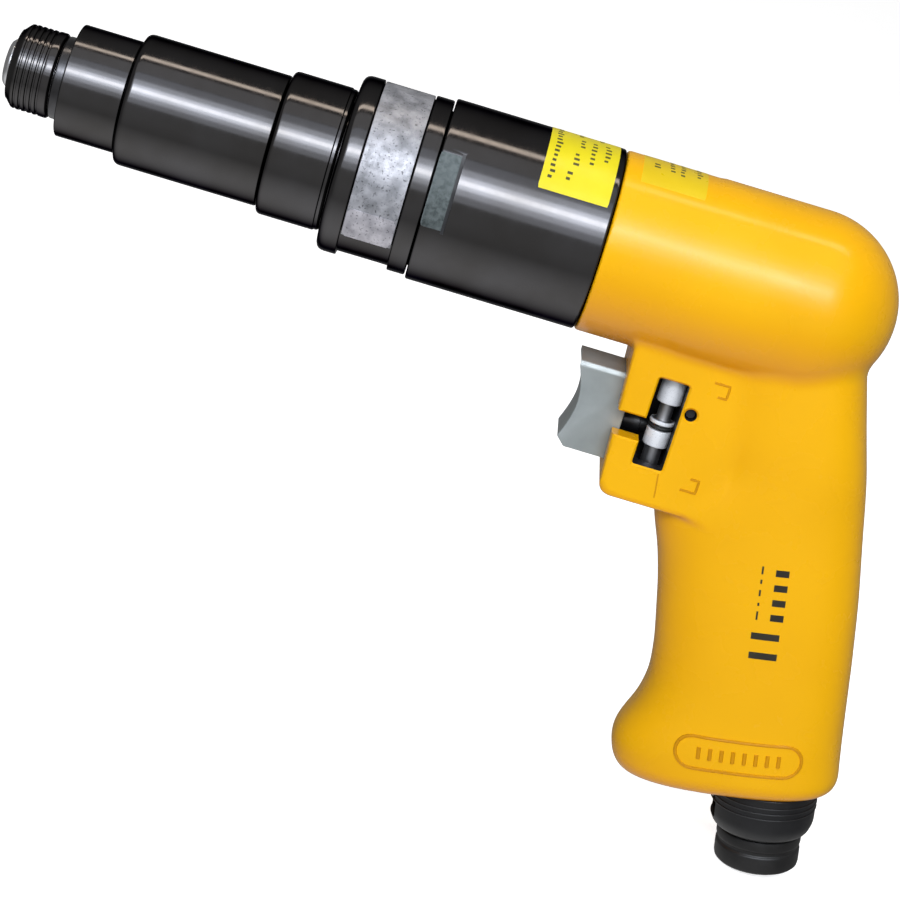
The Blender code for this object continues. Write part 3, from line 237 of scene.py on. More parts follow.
def enamel(name, low, high):
    """Thick paint on cast aluminium, with painted shade: more orange where it faces down."""
    shader = Shader(name, 0.25, Coat_Weight=0.15, Coat_Roughness=0.08, Specular_IOR_Level=0.25)
    base = shader.cloud(shader.noise(38, 2.0), low, high)
    parts = shader.node("SeparateXYZ")
    shader.link(shader.normal_of_mesh, parts.inputs["Vector"])
    # Painted shade: faces turned downwards are mixed towards a deeper orange, standing in for the
    # shade under the barrel.
    painted_shade_below = remap(shader.tree, parts.outputs["Z"], 0.0, -0.8, 0.0, 0.8)
    deep = shader.cloud(shader.noise(20, 2.0), (0.82, 0.29, 0.0), (0.88, 0.32, 0.0))
    base = shader.mix(painted_shade_below, base, deep)
    dust = shader.spots(shader.noise(1.3, 4.0), 0.62, 0.80, 0.35)
    worn = shader.cloud(shader.noise(9, 3.0), (0.76, 0.37, 0.004), (0.82, 0.40, 0.008))
    shader.colour(shader.mix(dust, base, worn))
    shader.rough(shader.noise(12, 4.0), 0.20, 0.34)
    shader.bump(shader.noise(2.2, 2.0), 0.05, 0.35)
    shader.bump(shader.noise(0.35, 1.0), 0.01, 0.25)
    return shader.material


def black_steel():
    shader = Shader("black_oxide", 0.14, 1.0, Specular_Tint=(0.25, 0.25, 0.26, 1))
    patches = shader.noise(14, 3.0)
    base = shader.cloud(patches, (0.074, 0.071, 0.070), (0.092, 0.090, 0.093))
    scuffs = shader.spots(shader.noise(0.8, 5.0, (6, 1, 1)), 0.70, 0.82, 0.3)
    bare = shader.cloud(patches, (0.13, 0.12, 0.115), (0.17, 0.16, 0.15))
    shader.colour(shader.mix(scuffs, base, bare))
    shader.rough(shader.noise(2.5, 3.0, TURNED), 0.10, 0.16)
    shader.bump(shader.noise(0.6, 2.0, TURNED), 0.001, 0.15)
    return shader.material


def matt_steel():
    """The wrench flats: milled, grey-green and speckled."""
    shader = Shader("milled_flat", 0.55, 0.7)
    blotch = shader.noise(1.1, 6.0, distortion=0.4)
    shader.colour(
        shader.ramp(blotch, ((0.34, (0.045, 0.055, 0.055)), (0.66, (0.125, 0.145, 0.145))))
    )
    shader.rough(blotch, 0.48, 0.68)
    shader.bump(shader.noise(0.4, 3.0), 0.05, 0.5)
    return shader.material


def zinc_band(name, low, high):
    """The cover band: patchy zinc with small dark pits."""
    shader = Shader(name, 0.45, 0.55)
    patches = shader.noise(3.2, 7.0)
    base = shader.ramp(patches, ((0.33, low), (0.68, high)))
    pits = shader.ramp(shader.noise(0.55, 4.0), ((0.30, (0.9, 0.9, 0.9)), (0.42, (0, 0, 0))))
    dark = shader.cloud(patches, (0.07, 0.07, 0.08), (0.14, 0.14, 0.15))
    shader.colour(shader.mix(pits, base, dark))
    shader.rough(shader.noise(1.2, 4.0), 0.38, 0.60)
    shader.bump(shader.noise(0.7, 4.0), 0.05, 0.5)
    return shader.material


def metal(name, low, high, rough, grain=0.4, stretch=(1, 1, 1), depth=0.01, metallic=1.0):
    shader = Shader(name, rough, metallic)
    shader.colour(shader.cloud(shader.noise(5, 4.0), low, high))
    shader.rough(shader.noise(grain, 3.0, stretch), rough * 0.85, rough * 1.25)
    shader.bump(shader.noise(grain, 2.0, stretch), depth, 0.3)
    return shader.material


def satin_grey():
    """The trigger: bead-blasted and plated."""
    shader = Shader("trigger_grey", 0.38, 0.35, Coat_Weight=0.15, Coat_Roughness=0.3)
    shader.colour(
        shader.cloud(shader.noise(6, 3.0), (0.30, 0.33, 0.325), (0.36, 0.39, 0.385))
    )
    shader.rough(shader.noise(2.0, 4.0), 0.33, 0.46)
    shader.bump(shader.noise(0.3, 2.0), 0.012, 0.35)
    return shader.material


def moulded(name, low, high, rough, grain=0.5, depth=0.03):
    """Plastic, rubber, felt, paper, print and other non-metals."""
    shader = Shader(name, rough)
    shader.colour(shader.cloud(shader.noise(7, 4.0), low, high))
    shader.rough(shader.noise(3.0, 4.0), rough * 0.85, min(1.0, rough * 1.2))
    shader.bump(shader.noise(grain, 3.0), depth, 0.4)
    return shader.material


YELLOW = enamel("yellow_enamel", (0.82, 0.402, 0.0), (0.88, 0.445, 0.001))
# Darker enamel for the raised marks: painted shade standing in for the shadow lines along them.
PAINTED_SHADE_ENAMEL = enamel("enamel_painted_shade", (0.54, 0.23, 0.0), (0.62, 0.27, 0.0))
BLACK = black_steel()
FLAT = matt_steel()
BAND = zinc_band("zinc_band", (0.22, 0.225, 0.24), (0.46, 0.46, 0.49))
BAND_TAB = zinc_band("zinc_band_tab", (0.34, 0.33, 0.36), (0.62, 0.60, 0.64))
BRIGHT = metal("ground_steel", (0.62, 0.62, 0.64), (0.78, 0.78, 0.80), 0.22, 0.3, TURNED)
WHITE_STEEL = metal(
    "polished_spool", (0.80, 0.81, 0.83), (0.90, 0.91, 0.93), 0.30, 0.3, metallic=0.25
)
SATIN = metal("machined_steel", (0.40, 0.40, 0.41), (0.52, 0.52, 0.54), 0.40, 0.5, TURNED, 0.02)
SPRING = metal("spring_wire", (0.24, 0.24, 0.26), (0.34, 0.34, 0.36), 0.32)
RING = metal("dark_ring", (0.06, 0.06, 0.063), (0.09, 0.09, 0.095), 0.20, 0.3, TURNED)
BRASS = metal("turned_brass", (0.62, 0.42, 0.14), (0.74, 0.54, 0.22), 0.30, 0.4, TURNED)
GREY = satin_grey()
PLASTIC = moulded("black_moulding", (0.004, 0.004, 0.005), (0.009, 0.009, 0.010), 0.36)
# Near-black painted shade for the hollows in the casting, the groove at each wrench flat's root and
# the spool pin.
PAINTED_SHADE_BLACK = moulded("painted_shade_cavity", (0.006, 0.006, 0.008), (0.014, 0.014, 0.016), 0.5)
INLET = moulded(
    "phosphated_steel", (0.005, 0.005, 0.005), (0.014, 0.013, 0.013), 0.38, 0.8, 0.04
)
RUBBER = moulded("nitrile", (0.008, 0.008, 0.008), (0.016, 0.016, 0.016), 0.62)
FELT = moulded("grey_felt", (0.16, 0.15, 0.14), (0.28, 0.27, 0.25), 0.95, 0.25, 0.2)
RESIN = moulded("laminated_resin", (0.14, 0.07, 0.03), (0.24, 0.13, 0.06), 0.55, 0.4, 0.03)
LABEL = moulded("label_lemon", (0.72, 0.60, 0.003), (0.77, 0.65, 0.008), 0.35, 1.5, 0.01)
LABEL_PALE = moulded("label_amber", (0.72, 0.50, 0.003), (0.77, 0.55, 0.008), 0.32, 1.5, 0.01)
INK = moulded("printing_ink", (0.05, 0.045, 0.01), (0.10, 0.09, 0.02), 0.45, 0.4, 0.005)
DARK_INK = moulded("dark_ink", (0.012, 0.010, 0.006), (0.03, 0.024, 0.012), 0.4, 0.4, 0.005)

BY_SLOT = {
    "yellow_casting": YELLOW, "black_oxide_steel": BLACK, "grey_band": BAND,
    "bright_steel": BRIGHT, "satin_steel": SATIN, "spring_steel": SPRING,
    "grey_trigger": GREY, "brass": BRASS, "black_plastic": PLASTIC,
    "seal_rubber": RUBBER, "felt": FELT, "vane_resin": RESIN,
}
for name, node in NODES.items():
    node.data.materials.clear()
    # The spool pin, down in the window, gets the near-black painted shade instead of its slot's
    # finish.
    node.data.materials.append(PAINTED_SHADE_BLACK if name == "spool_pin" else BY_SLOT[SLOT_OF[name]])


# ---- meshes ----------------------------------------------------------------
def add_object(name, bm):
    """Puts a finished bmesh into the scene."""
    mesh = bpy.data.meshes.new(name)
    bm.to_mesh(mesh)
    bm.free()
    item = bpy.data.objects.new(name, mesh)
    bpy.context.scene.collection.objects.link(item)
    return item


def build(name, verts, faces, place=None):
    """A mesh object from millimetre points, with outward faces."""
    bm = bmesh.new()
    made = [bm.verts.new(Vector(v)) for v in verts]
    for face in faces:
        bm.faces.new([made[i] for i in face])
    if place is not None:
        bmesh.ops.transform(bm, matrix=place, verts=bm.verts)
    bmesh.ops.recalc_face_normals(bm, faces=bm.faces)
    bmesh.ops.scale(bm, vec=(MM, MM, MM), verts=bm.verts)
    return add_object(name, bm)


def rounded(profile, radius, steps=3):
    """The closed outline with each corner off the axis rounded."""
    points = []
    for i, corner in enumerate(profile):
        here = Vector(corner[:2])
        before, after = Vector(profile[i - 1][:2]), Vector(profile[(i + 1) % len(profile)][:2])
        to_before, to_after = before - here, after - here
        own = corner[2] if len(corner) > 2 else radius
        straight = to_before.length < 1e-6 or to_after.length < 1e-6
        if here.y < 1e-6 or own == 0 or straight or abs(to_before.angle(to_after) - pi) < 0.05:
            points.append((here.x, here.y))
            continue
        reach = min(own, 0.45 * to_before.length, 0.45 * to_after.length)
        start = here + to_before.normalized() * reach
        end = here + to_after.normalized() * reach
        for step in range(steps + 1):
            t = step / steps
            point = start * (1 - t) ** 2 + here * 2 * t * (1 - t) + end * t * t
            points.append((point.x, point.y))
    return points


def lathe(name, profile, segments=112, place=None, centre=(0.0, 0.0)):
    """A closed profile of (x, radius) points, spun about X."""
    verts, faces, rings = [], [], []
    for x, r in profile:
        if r < 1e-6:
            rings.append([len(verts)])
            verts.append((x, centre[0], centre[1]))
            continue
        rings.append(list(range(len(verts), len(verts) + segments)))
        for i in range(segments):
            turn = 2 * pi * i / segments
            verts.append((x, centre[0] + r * sin(turn), centre[1] + r * cos(turn)))
    for ring, following in zip(rings, rings[1:] + rings[:1]):
        if len(ring) == 1 and len(following) == 1:
            continue
        for i in range(segments):
            j = (i + 1) % segments
            if len(ring) == 1:
                faces.append((ring[0], following[i], following[j]))
            elif len(following) == 1:
                faces.append((ring[i], ring[j], following[0]))
            else:
                faces.append((ring[i], ring[j], following[j], following[i]))
    return build(name, verts, faces, place)


def prism(name, loops, place=None):
    """A closed solid through equal loops of points."""
    verts = [point for loop in loops for point in loop]
    count = len(loops[0])
    faces = [tuple(range(count)), tuple(range(len(verts) - count, len(verts)))]
    for level in range(len(loops) - 1):
        for i in range(count):
            j = (i + 1) % count
            low, high = level * count, (level + 1) * count
            faces.append((low + i, low + j, high + j, high + i))
    return build(name, verts, faces, place)


def rounded_rectangle(x0, x1, z0, z1, radius):
    steps = 4
    points = []
    corners = ((x1, z1, 0), (x0, z1, 90), (x0, z0, 180), (x1, z0, 270))
    for cx, cz, start in corners:
        ox = cx - radius if cx == x1 else cx + radius
        oz = cz - radius if cz == z1 else cz + radius
        for step in range(steps + 1):
            turn = radians(start + 90 * step / steps)
            points.append((ox + radius * cos(turn), oz + radius * sin(turn)))
    return points


def along_x(name, outline, x0, x1, place=None):
    """An outline of (y, z) points drawn out along X."""
    return prism(name, [[(x, y, z) for y, z in outline] for x in (x0, x1)], place)


def along_z(name, outline, z0, z1, place=None):
    """An outline of (x, y) points drawn out along Z."""
    return prism(name, [[(x, y, z) for x, y in outline] for z in (z0, z1)], place)


def apply(item, kind, **settings):
    """Adds one modifier and turns its result into the object's mesh."""
    step = item.modifiers.new(kind.lower(), kind)
    for key, value in settings.items():
        setattr(step, key, value)
    graph = bpy.context.evaluated_depsgraph_get()
    result = bpy.data.meshes.new_from_object(item.evaluated_get(graph))
    item.modifiers.clear()
    old = item.data
    item.data = result
    bpy.data.meshes.remove(old)


def cut(item, *tools):
    """Takes each tool away from the item and removes the tool."""
    for tool in tools:
        apply(item, "BOOLEAN", object=tool, operation="DIFFERENCE", solver="MANIFOLD")
        bpy.data.objects.remove(tool, do_unlink=True)


def settle(item, paint, body, slot=None, nodes=(), angle=32):
    """Paints the piece, smooths it and fixes it to its body."""
    item.data.materials.clear()
    for material in paint if isinstance(paint, tuple) else (paint,):
        item.data.materials.append(material)
    item.data.shade_smooth()
    item.data.set_sharp_from_angle(angle=radians(angle))
    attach(item, body)
    if nodes:
        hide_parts(*nodes)
    if slot or nodes:
        slot or SLOT_OF[nodes[0]]
    return item


def stand_for(item, paint, node, **options):
    """Settles a piece that replaces one CAD node."""
    return settle(item, paint, BODY_OF[node], nodes=(node,), **options)


def polygon(count, radius):
    """Points of a regular polygon, the first one at the top."""
    turns = [2 * pi * i / count for i in range(count)]
    return [(radius * sin(turn), radius * cos(turn)) for turn in turns]


# ---- spindle, chuck and nose -----------------------------------------------
def make_spindle():
    nose, end, _ = span("output_spindle")
    bearing, bearing_end, _ = span("front_bearing")
    flange, flange_r, bore_r = end - 5.0, 11.4, 3.3
    profile = [
        (nose, 0.0), (nose, 4.95, 0.3), (nose + 0.9, 5.85, 0.5), (bearing - FIT, 5.85),
        (bearing - FIT, 5.0), (bearing_end + FIT, 5.0), (bearing_end + FIT, 6.5),
        (flange, 6.5), (flange, flange_r), (end, flange_r), (end, bore_r),
        (end - 9.0, bore_r), (end - 9.0, 0.0),
    ]
    item = lathe("spindle_turned", rounded(profile, 0.25), 96)
    flats, chamfer = 6.5 / sqrt(3), 0.6
    stations = (
        (nose - 1.0, flats + 1.2), (nose + 0.8, flats), (-chamfer, flats), (0.0, flats - chamfer),
    )
    loops = [[(x, y, z) for y, z in polygon(6, r)] for x, r in stations]
    tools = [prism("socket_tool", loops)]
    side = Matrix.Translation((nose + BALL_STATION, 0, 0)) @ Matrix.Rotation(pi / 2, 4, "Z")
    tools.append(lathe("ball_hole_tool", [(-9, 0), (-9, 2.05), (9, 2.05), (9, 0)], 32, side))
    for y, z in polygon(3, 8.2):
        pocket = [(end - 1.4, 0), (end - 1.4, 2.55), (end + 2, 2.55), (end + 2, 0)]
        tools.append(lathe("pocket_tool", pocket, 32, centre=(y, z)))
    cut(item, *tools)
    stand_for(item, BRIGHT, "output_spindle")


def make_chuck():
    start, end, r = span("chuck_sleeve")
    pocket, land = 8.4, 6.15
    middle = span("output_spindle")[0] + BALL_STATION
    outside = [(start, r - 2.0, 0.3), (start + 1.7, r - 0.15, 0.3)]
    rib, first = 1.34, start + 2.3
    for i in range(5):
        x = first + rib * i
        outside += [
            (x, r - 0.1, 0.15), (x + 0.12, r - 0.55, 0.1),
            (x + 0.50, r - 0.55, 0.1), (x + 0.62, r, 0.15),
        ]
    outside += [(end - 0.5, r, 0.2), (end, r - 0.5, 0.2)]
    inside = [
        (end, pocket), (middle + 1.6, pocket), (middle + 1.6, land), (middle - 1.6, land),
        (middle - 1.6, pocket), (start, pocket),
    ]
    item = lathe("chuck_sleeve_ribbed", rounded(outside + inside, 0.2, 2))
    stand_for(item, BLACK, "chuck_sleeve")
    ring = span("dust_ring")
    profile = [(ring[0], 6.15), (ring[0], ring[2]), (ring[1], ring[2]), (ring[1], 6.15)]
    item = lathe("dust_ring_turned", rounded(profile, 0.45))
    stand_for(item, RING, "dust_ring")


def make_nose():
    start, end, r = span("nose_cap")
    bearing, bearing_end, _ = span("front_bearing")
    profile = [
        (start, 6.15), (start, r - 0.2, 0.9), (start + 0.2, r, 0.9), (end, r, 0.5),
        (end, 12.2), (bearing_end + FIT, 12.2), (bearing_end + FIT, 11.3),
        (bearing - FIT, 11.3), (bearing - FIT, 6.15),
    ]
    stand_for(lathe("nose_cap_turned", rounded(profile, 0.3)), BLACK, "nose_cap")

    r = span("clutch_case")[2]
    first, last, _ = span("clutch_case")
    front, case_end = end + FIT, span("lock_collar")[0] - FIT
    profile = [
        (first, 9.5), (first, 11.9), (front, 11.9), (front, r, 2.6), (case_end, r, 0.6),
        (case_end, 13.9), (last, 13.9), (last, 12.4), (front + 3.3, 12.4), (front + 3.3, 9.5),
    ]
    stand_for(lathe("clutch_case_turned", rounded(profile, 0.3, 5)), BLACK, "clutch_case")

    start, end, r = span("lock_collar")
    profile = [
        (start, 14.2), (start, r, 1.8), (end - 1.5, r, 0.2), (end - 1.3, r - 0.25, 0.2),
        (end - 0.5, r - 0.25, 0.4), (end, r - 0.7, 0.2), (end, 14.2),
    ]
    stand_for(lathe("lock_collar_turned", rounded(profile, 0.3, 5)), BLACK, "lock_collar")


# ---- clutch housing, band and motor housing --------------------------------
def patch(name, x0, x1, a0, a1, r0, r1, corner=0.0):
    """A thin plate bent round the spindle, from angle a0 to a1 from the top towards +Y."""
    steps = max(2, int(abs(a1 - a0) / 2.5))
    loops = []
    for i in range(steps + 1):
        angle = radians(a0 + (a1 - a0) * i / steps)
        inset = 0.0
        if corner:
            near = min(i, steps - i) * abs(a1 - a0) / steps * pi / 180 * r1
            inset = max(0.0, corner - near) ** 2 / corner
        c, s = cos(angle), sin(angle)
        loops.append([
            (x, r * s, r * c)
            for x, r in ((x0 + inset, r0), (x0 + inset, r1), (x1 - inset, r1), (x1 - inset, r0))
        ])
    return prism(name, loops)


def make_clutch_housing():
    start, last, r = span("clutch_housing")
    end = span("motor_housing")[0] - FIT
    band, band_end, band_r = span("cover_band")
    groove = band_r - 0.5 - FIT
    wall = start + 6.4
    profile = [
        (start, 14.2), (start, r, 2.8), (band - FIT, r, 0.35), (band - FIT, groove),
        (band_end + FIT, groove), (band_end + FIT, r, 0.35), (end, r, 0.5), (end, 18.8),
        (last, 18.8), (last, 17.0), (wall, 17.0), (wall, 14.2),
    ]
    item = lathe("clutch_housing_turned", rounded(profile, 0.25, 5))
    outline = rounded_rectangle(wall + 0.5, band_end - 0.6, -6.0, 6.0, 1.2)
    cut(item, along_z("window_tool", outline, -r - 2, -14))
    stand_for(item, BLACK, "clutch_housing")

    profile = [
        (band, band_r - 0.5, 0.1), (band, band_r), (band_end, band_r), (band_end, band_r - 0.5, 0.1)
    ]
    item = lathe("cover_band_rolled", rounded(profile, 0.2, 2), 160)
    far, beyond = 60.0, 5.0
    left, right = radians(BAND_GAP_LEFT), radians(BAND_GAP_RIGHT)
    wedge = [
        (0, 0), (-far * sin(left), -far * cos(left)), (far * sin(right), -far * cos(right))
    ]
    cut(item, along_x("band_tool", wedge, band - beyond, band_end + beyond))
    stand_for(item, BAND, "cover_band")
    tab = patch(
        "cover_band_tab", band + 0.15, band_end - 0.15, TAB_START, TAB_END,
        band_r - 0.1, band_r + 0.1, corner=0.8,
    )
    settle(tab, BAND_TAB, BODY_OF["cover_band"], slot="grey_band")


def make_motor_housing():
    start, last, _ = span("motor_housing")
    end = BARREL_X - FIT
    step, seat = span("ring_gear")[0] - FIT / 2, span("ring_gear")[1] + FIT
    flat_end = start + 5.8
    root, root_depth = 0.8, 0.3
    profile = [
        (start, 19.1), (start, HOUSING_R, 0.6), (flat_end + 0.4, HOUSING_R), (end, HOUSING_R, 0.7),
        (end, 19.5), (last, 19.5), (last, 17.6), (seat, 17.6), (seat, 18.5), (step, 18.5),
        (step, 19.1),
    ]
    item = lathe("motor_housing_turned", rounded(profile, 0.3, 4), 160)
    turn = Matrix.Rotation(radians(FLAT_TURN), 4, "X")
    facing = turn @ Vector((0, 1, 0))
    far = 30.0
    for side in (-1, 1):
        for name, front, reach in (
            ("flat_tool", start - 5, FLAT_REACH),
            ("root_tool", flat_end - root, FLAT_REACH - root_depth),
        ):
            near, out = side * reach, side * far
            slab = [(near, -far), (out, -far), (out, far), (near, far)]
            cut(item, along_x(name, slab, front, flat_end, turn))
    stand_for(item, (BLACK, FLAT, PAINTED_SHADE_BLACK), "motor_housing")
    # The flats get the milled finish; the faces of the narrow groove at each flat's root get
    # painted shade, a painted shadow line along the step.
    for face in item.data.polygons:
        x = face.center.x / MM
        depth = abs(face.center.dot(facing)) / MM
        off_axis = face.center.yz.length / MM
        in_root = flat_end - root < x < flat_end and depth < FLAT_REACH - 0.2
        if x < flat_end - root and abs(depth - FLAT_REACH) < 0.02:
            face.material_index = 1
        elif in_root and off_axis > FLAT_REACH - 0.4:
            face.material_index = 2


def printed_columns(name, x0, columns, r, seed):
    """Columns of short generic marks printed round the barrel: offset, angles and pitch."""
    rng = np.random.default_rng(seed)
    made = []
    for offset, start, end, pitch in columns:
        for angle in np.arange(start, end, pitch):
            x = x0 + offset + rng.uniform(-0.15, 0.15)
            end_x = x + rng.uniform(0.8, 1.5)
            made.append(patch(name, x, end_x, angle, angle + 2.0, r, r + 0.03))
    return join_all(name, made)


def join_all(name, items):
    """One object from several that don't touch."""
    bm = bmesh.new()
    for item in items:
        bm.from_mesh(item.data)
        bpy.data.objects.remove(item, do_unlink=True)
    return add_object(name, bm)


def make_label(name, paint, slot, r, lift, stations, angles, columns, seed):
    """A sheet glued round the barrel, with generic marks printed on it."""
    sheet = patch(name, *stations, *angles, r - 0.05, r + lift, corner=0.15)
    settle(sheet, paint, "housing", slot=slot)
    ink = printed_columns(name + "_print", stations[0], columns, r + lift - 0.01, seed)
    settle(ink, INK, "housing", slot="black_plastic")


def make_labels():
    end = BARREL_X - FIT - 1.6
    columns = (
        (1.6, -50, 26, 4.2), (5.6, -48, -42, 4.2), (6.4, -36, -26, 4.2), (7.2, -18, -8, 4.2),
        (10.0, -32, -8, 4.6), (13.2, -26, -6, 4.6), (6.8, 0, 22, 4.2), (11.6, 2, 20, 4.2),
    )
    make_label(
        "motor_label", LABEL, "black_oxide_steel", HOUSING_R, 0.06, (end - 16.7, end),
        (-58.0, 34.0), columns, 3,
    )
    start = BARREL_X + 3.9
    columns = ((2.6, -14, -8, 4.0), (6.4, -14, 24, 4.6), (9.0, -16, 20, 4.6), (12.8, -12, 22, 4.6))
    make_label(
        "barrel_label", LABEL_PALE, "yellow_casting", FRONT_R, 0.05, (start, start + 15.6),
        (-33.0, 40.0), columns, 8,
    )


# ---- handle ----------------------------------------------------------------
def table(column):
    """A smooth curve down the handle through one column of SECTIONS."""
    step, margin, smoothing = 0.25, 20.0, 2.4
    lengths = np.arange(-margin, HANDLE_LENGTH + margin, step)
    stations = [section[0] * HANDLE_LENGTH for section in SECTIONS]
    values = np.interp(lengths, stations, [section[column] for section in SECTIONS])
    spread = smoothing / step
    reach = int(4 * spread)
    kernel = np.exp(-0.5 * (np.arange(-reach, reach + 1) / spread) ** 2)
    padded = np.pad(values, reach, mode="edge")
    return lengths, np.convolve(padded, kernel / kernel.sum(), mode="valid")


FRONT, REAR, WIDTH = table(1), table(2), table(3)


def smooth_max(a, b, k):
    """The larger of a and b, rounded where they are within k of each other."""
    h = np.maximum(k - np.abs(a - b), 0.0) / k
    return np.maximum(a, b) + h * h * k / 4


def smooth_min(a, b, k):
    return -smooth_max(-a, -b, k)


def handle_distance(p):
    """Signed distance, in millimetres, from the outside of the yellow casting."""
    x, y, z = p[..., 0], p[..., 1], p[..., 2]
    swell = np.clip((x - CREASE_X) / CREASE_WIDTH + 0.5, 0.0, 1.0)
    radius = FRONT_R + (BARREL_R - FRONT_R) * swell
    tube = np.hypot(np.maximum(x - DOME_X, 0.0), np.hypot(y, z)) - radius
    barrel = smooth_max(tube, BARREL_X - x, MOUTH_EDGE)

    u = (x - AXIS_X) * DOWN.x + z * DOWN.z
    v = (x - AXIS_X) * BACK.x + z * BACK.z
    front, rear, half = (np.interp(u, *line) for line in (FRONT, REAR, WIDTH))
    reach = (rear - front) / 2
    along = (v - (front + rear) / 2) / reach
    width = half * (1 + EGG * np.clip(along, -1, 1))
    n = SQUARENESS
    a, b = np.abs(along) + 1e-6, np.abs(y) / width + 1e-6
    f = a ** n + b ** n
    g = f ** (1 / n)
    slope = f ** (1 / n - 1) * np.hypot(a ** (n - 1) / reach, b ** (n - 1) / width)
    deepest = -12.0  # the formula runs away near the middle of the section
    side = np.maximum((g - 1) / slope, deepest)
    grip = smooth_max(side, u - HANDLE_LENGTH, FOOT_EDGE)
    grip = smooth_max(grip, GRIP_TOP - u, GRIP_TOP_EDGE)

    edge = Vector((BLOCK_RAKE, 0, BLOCK_BOTTOM - RAKE_TOP)).normalized()
    face = (x - BLOCK_X) * edge.z - (z - RAKE_TOP) * edge.x
    block = smooth_max(face, BLOCK_BOTTOM - z, BLOCK_LOWER_EDGE)
    block = smooth_max(block, np.abs(y) - BLOCK_HALF, BLOCK_SIDE_EDGE)
    block = np.maximum(block, np.maximum(x - BLOCK_BACK, z - BLOCK_TOP))
    return smooth_min(smooth_min(barrel, grip, BARREL_BLEND), block, BLOCK_BLEND)


def gradient(p):
    """The outward slope of handle_distance."""
    step = 0.02
    parts = []
    for axis in range(3):
        shift = np.zeros(3)
        shift[axis] = step
        parts.append((handle_distance(p + shift) - handle_distance(p - shift)) / (2 * step))
    return np.stack(parts, axis=-1)


def cells_round(index, axis):
    """The four grid cells round each crossed edge, in order round the edge."""
    first, second = [other for other in range(3) if other != axis]
    for back_first, back_second in ((0, 0), (1, 0), (1, 1), (0, 1)):
        cell = index.copy()
        cell[:, first] -= back_first
        cell[:, second] -= back_second
        yield tuple(cell.T)


def surface_nets(size):
    """The zero surface of handle_distance as quads about size millimetres wide."""
    margin = 2.0
    low = np.array([BARREL_X - margin, -BARREL_R - margin, -132.0])
    high = np.array([AXIS_X + 46.0, BARREL_R + margin, BARREL_R + margin])
    count = np.ceil((high - low) / size).astype(int) + 1
    axes = [low[i] + size * np.arange(count[i]) for i in range(3)]
    values = np.empty(count, dtype=np.float32)
    yy, zz = np.meshgrid(axes[1], axes[2], indexing="ij")
    for i, x in enumerate(axes[0]):
        values[i] = handle_distance(np.stack([np.full_like(yy, x), yy, zz], axis=-1))
    inside = values < 0
    cells = tuple(count - 1)
    total = np.zeros((*cells, 3))
    hits = np.zeros(cells)
    edges = []
    for axis in range(3):
        first = [slice(None)] * 3
        second = [slice(None)] * 3
        first[axis], second[axis] = slice(0, -1), slice(1, None)
        va, vb = values[tuple(first)], values[tuple(second)]
        crossing = inside[tuple(first)] != inside[tuple(second)]
        index = np.argwhere(crossing)
        share = va[crossing] / (va[crossing] - vb[crossing])
        spot = index.astype(float)
        spot[:, axis] += share
        edges.append((axis, index))
        for cell in cells_round(index, axis):
            np.add.at(total, cell, spot)
            np.add.at(hits, cell, 1)
    active = hits > 0
    number = np.full(cells, -1)
    number[active] = np.arange(active.sum())
    points = low + size * total[active] / hits[active][:, None]
    faces = [
        np.stack([number[cell] for cell in cells_round(index, axis)], axis=1)
        for axis, index in edges
    ]
    return points, np.concatenate(faces)


def make_handle_shell():
    points, faces = surface_nets(0.7)
    for _ in range(4):  # each round brings the points nearer to the exact surface
        slope = gradient(points)
        length = np.maximum((slope**2).sum(axis=1), 1e-3)
        points -= np.clip(handle_distance(points) / length, -0.3, 0.3)[:, None] * slope
    rough = bpy.data.meshes.new("handle_points")
    rough.from_pydata(points * MM, [], faces.tolist())
    bm = bmesh.new()
    bm.from_mesh(rough)
    bpy.data.meshes.remove(rough)
    bmesh.ops.recalc_face_normals(bm, faces=bm.faces)
    return add_object("handle_cast", bm)


def flared(name, x0, x1, z0, z1, depth):
    """A side pocket's cutter, from the left face in to y = depth, with a chamfered rim."""
    corner, flare = 0.6, 0.45
    loops = []
    for y, grown in ((depth, 0.0), (-BLOCK_HALF + flare, 0.0), (-BLOCK_HALF - 1.0, flare + 1.0)):
        outline = rounded_rectangle(
            x0 - grown, x1 + grown, z0 - grown, z1 + grown, corner + grown
        )
        loops.append([(x, y, z) for x, z in outline])
    return prism(name, loops)


ROD_Z = -40.4
WINDOW_X = BLOCK_X + 7.6
WINDOW_END = WINDOW_X + 7.5
WINDOW_TOP, WINDOW_BOTTOM = -24.7, -46.8
SLOT_TOP, SLOT_BOTTOM = -35.2, -41.2
SPOOL_X, SPOOL_Y = WINDOW_X + 4.5, -5.8
PIN_X, PIN_Z = WINDOW_END + 2.3, -31.5


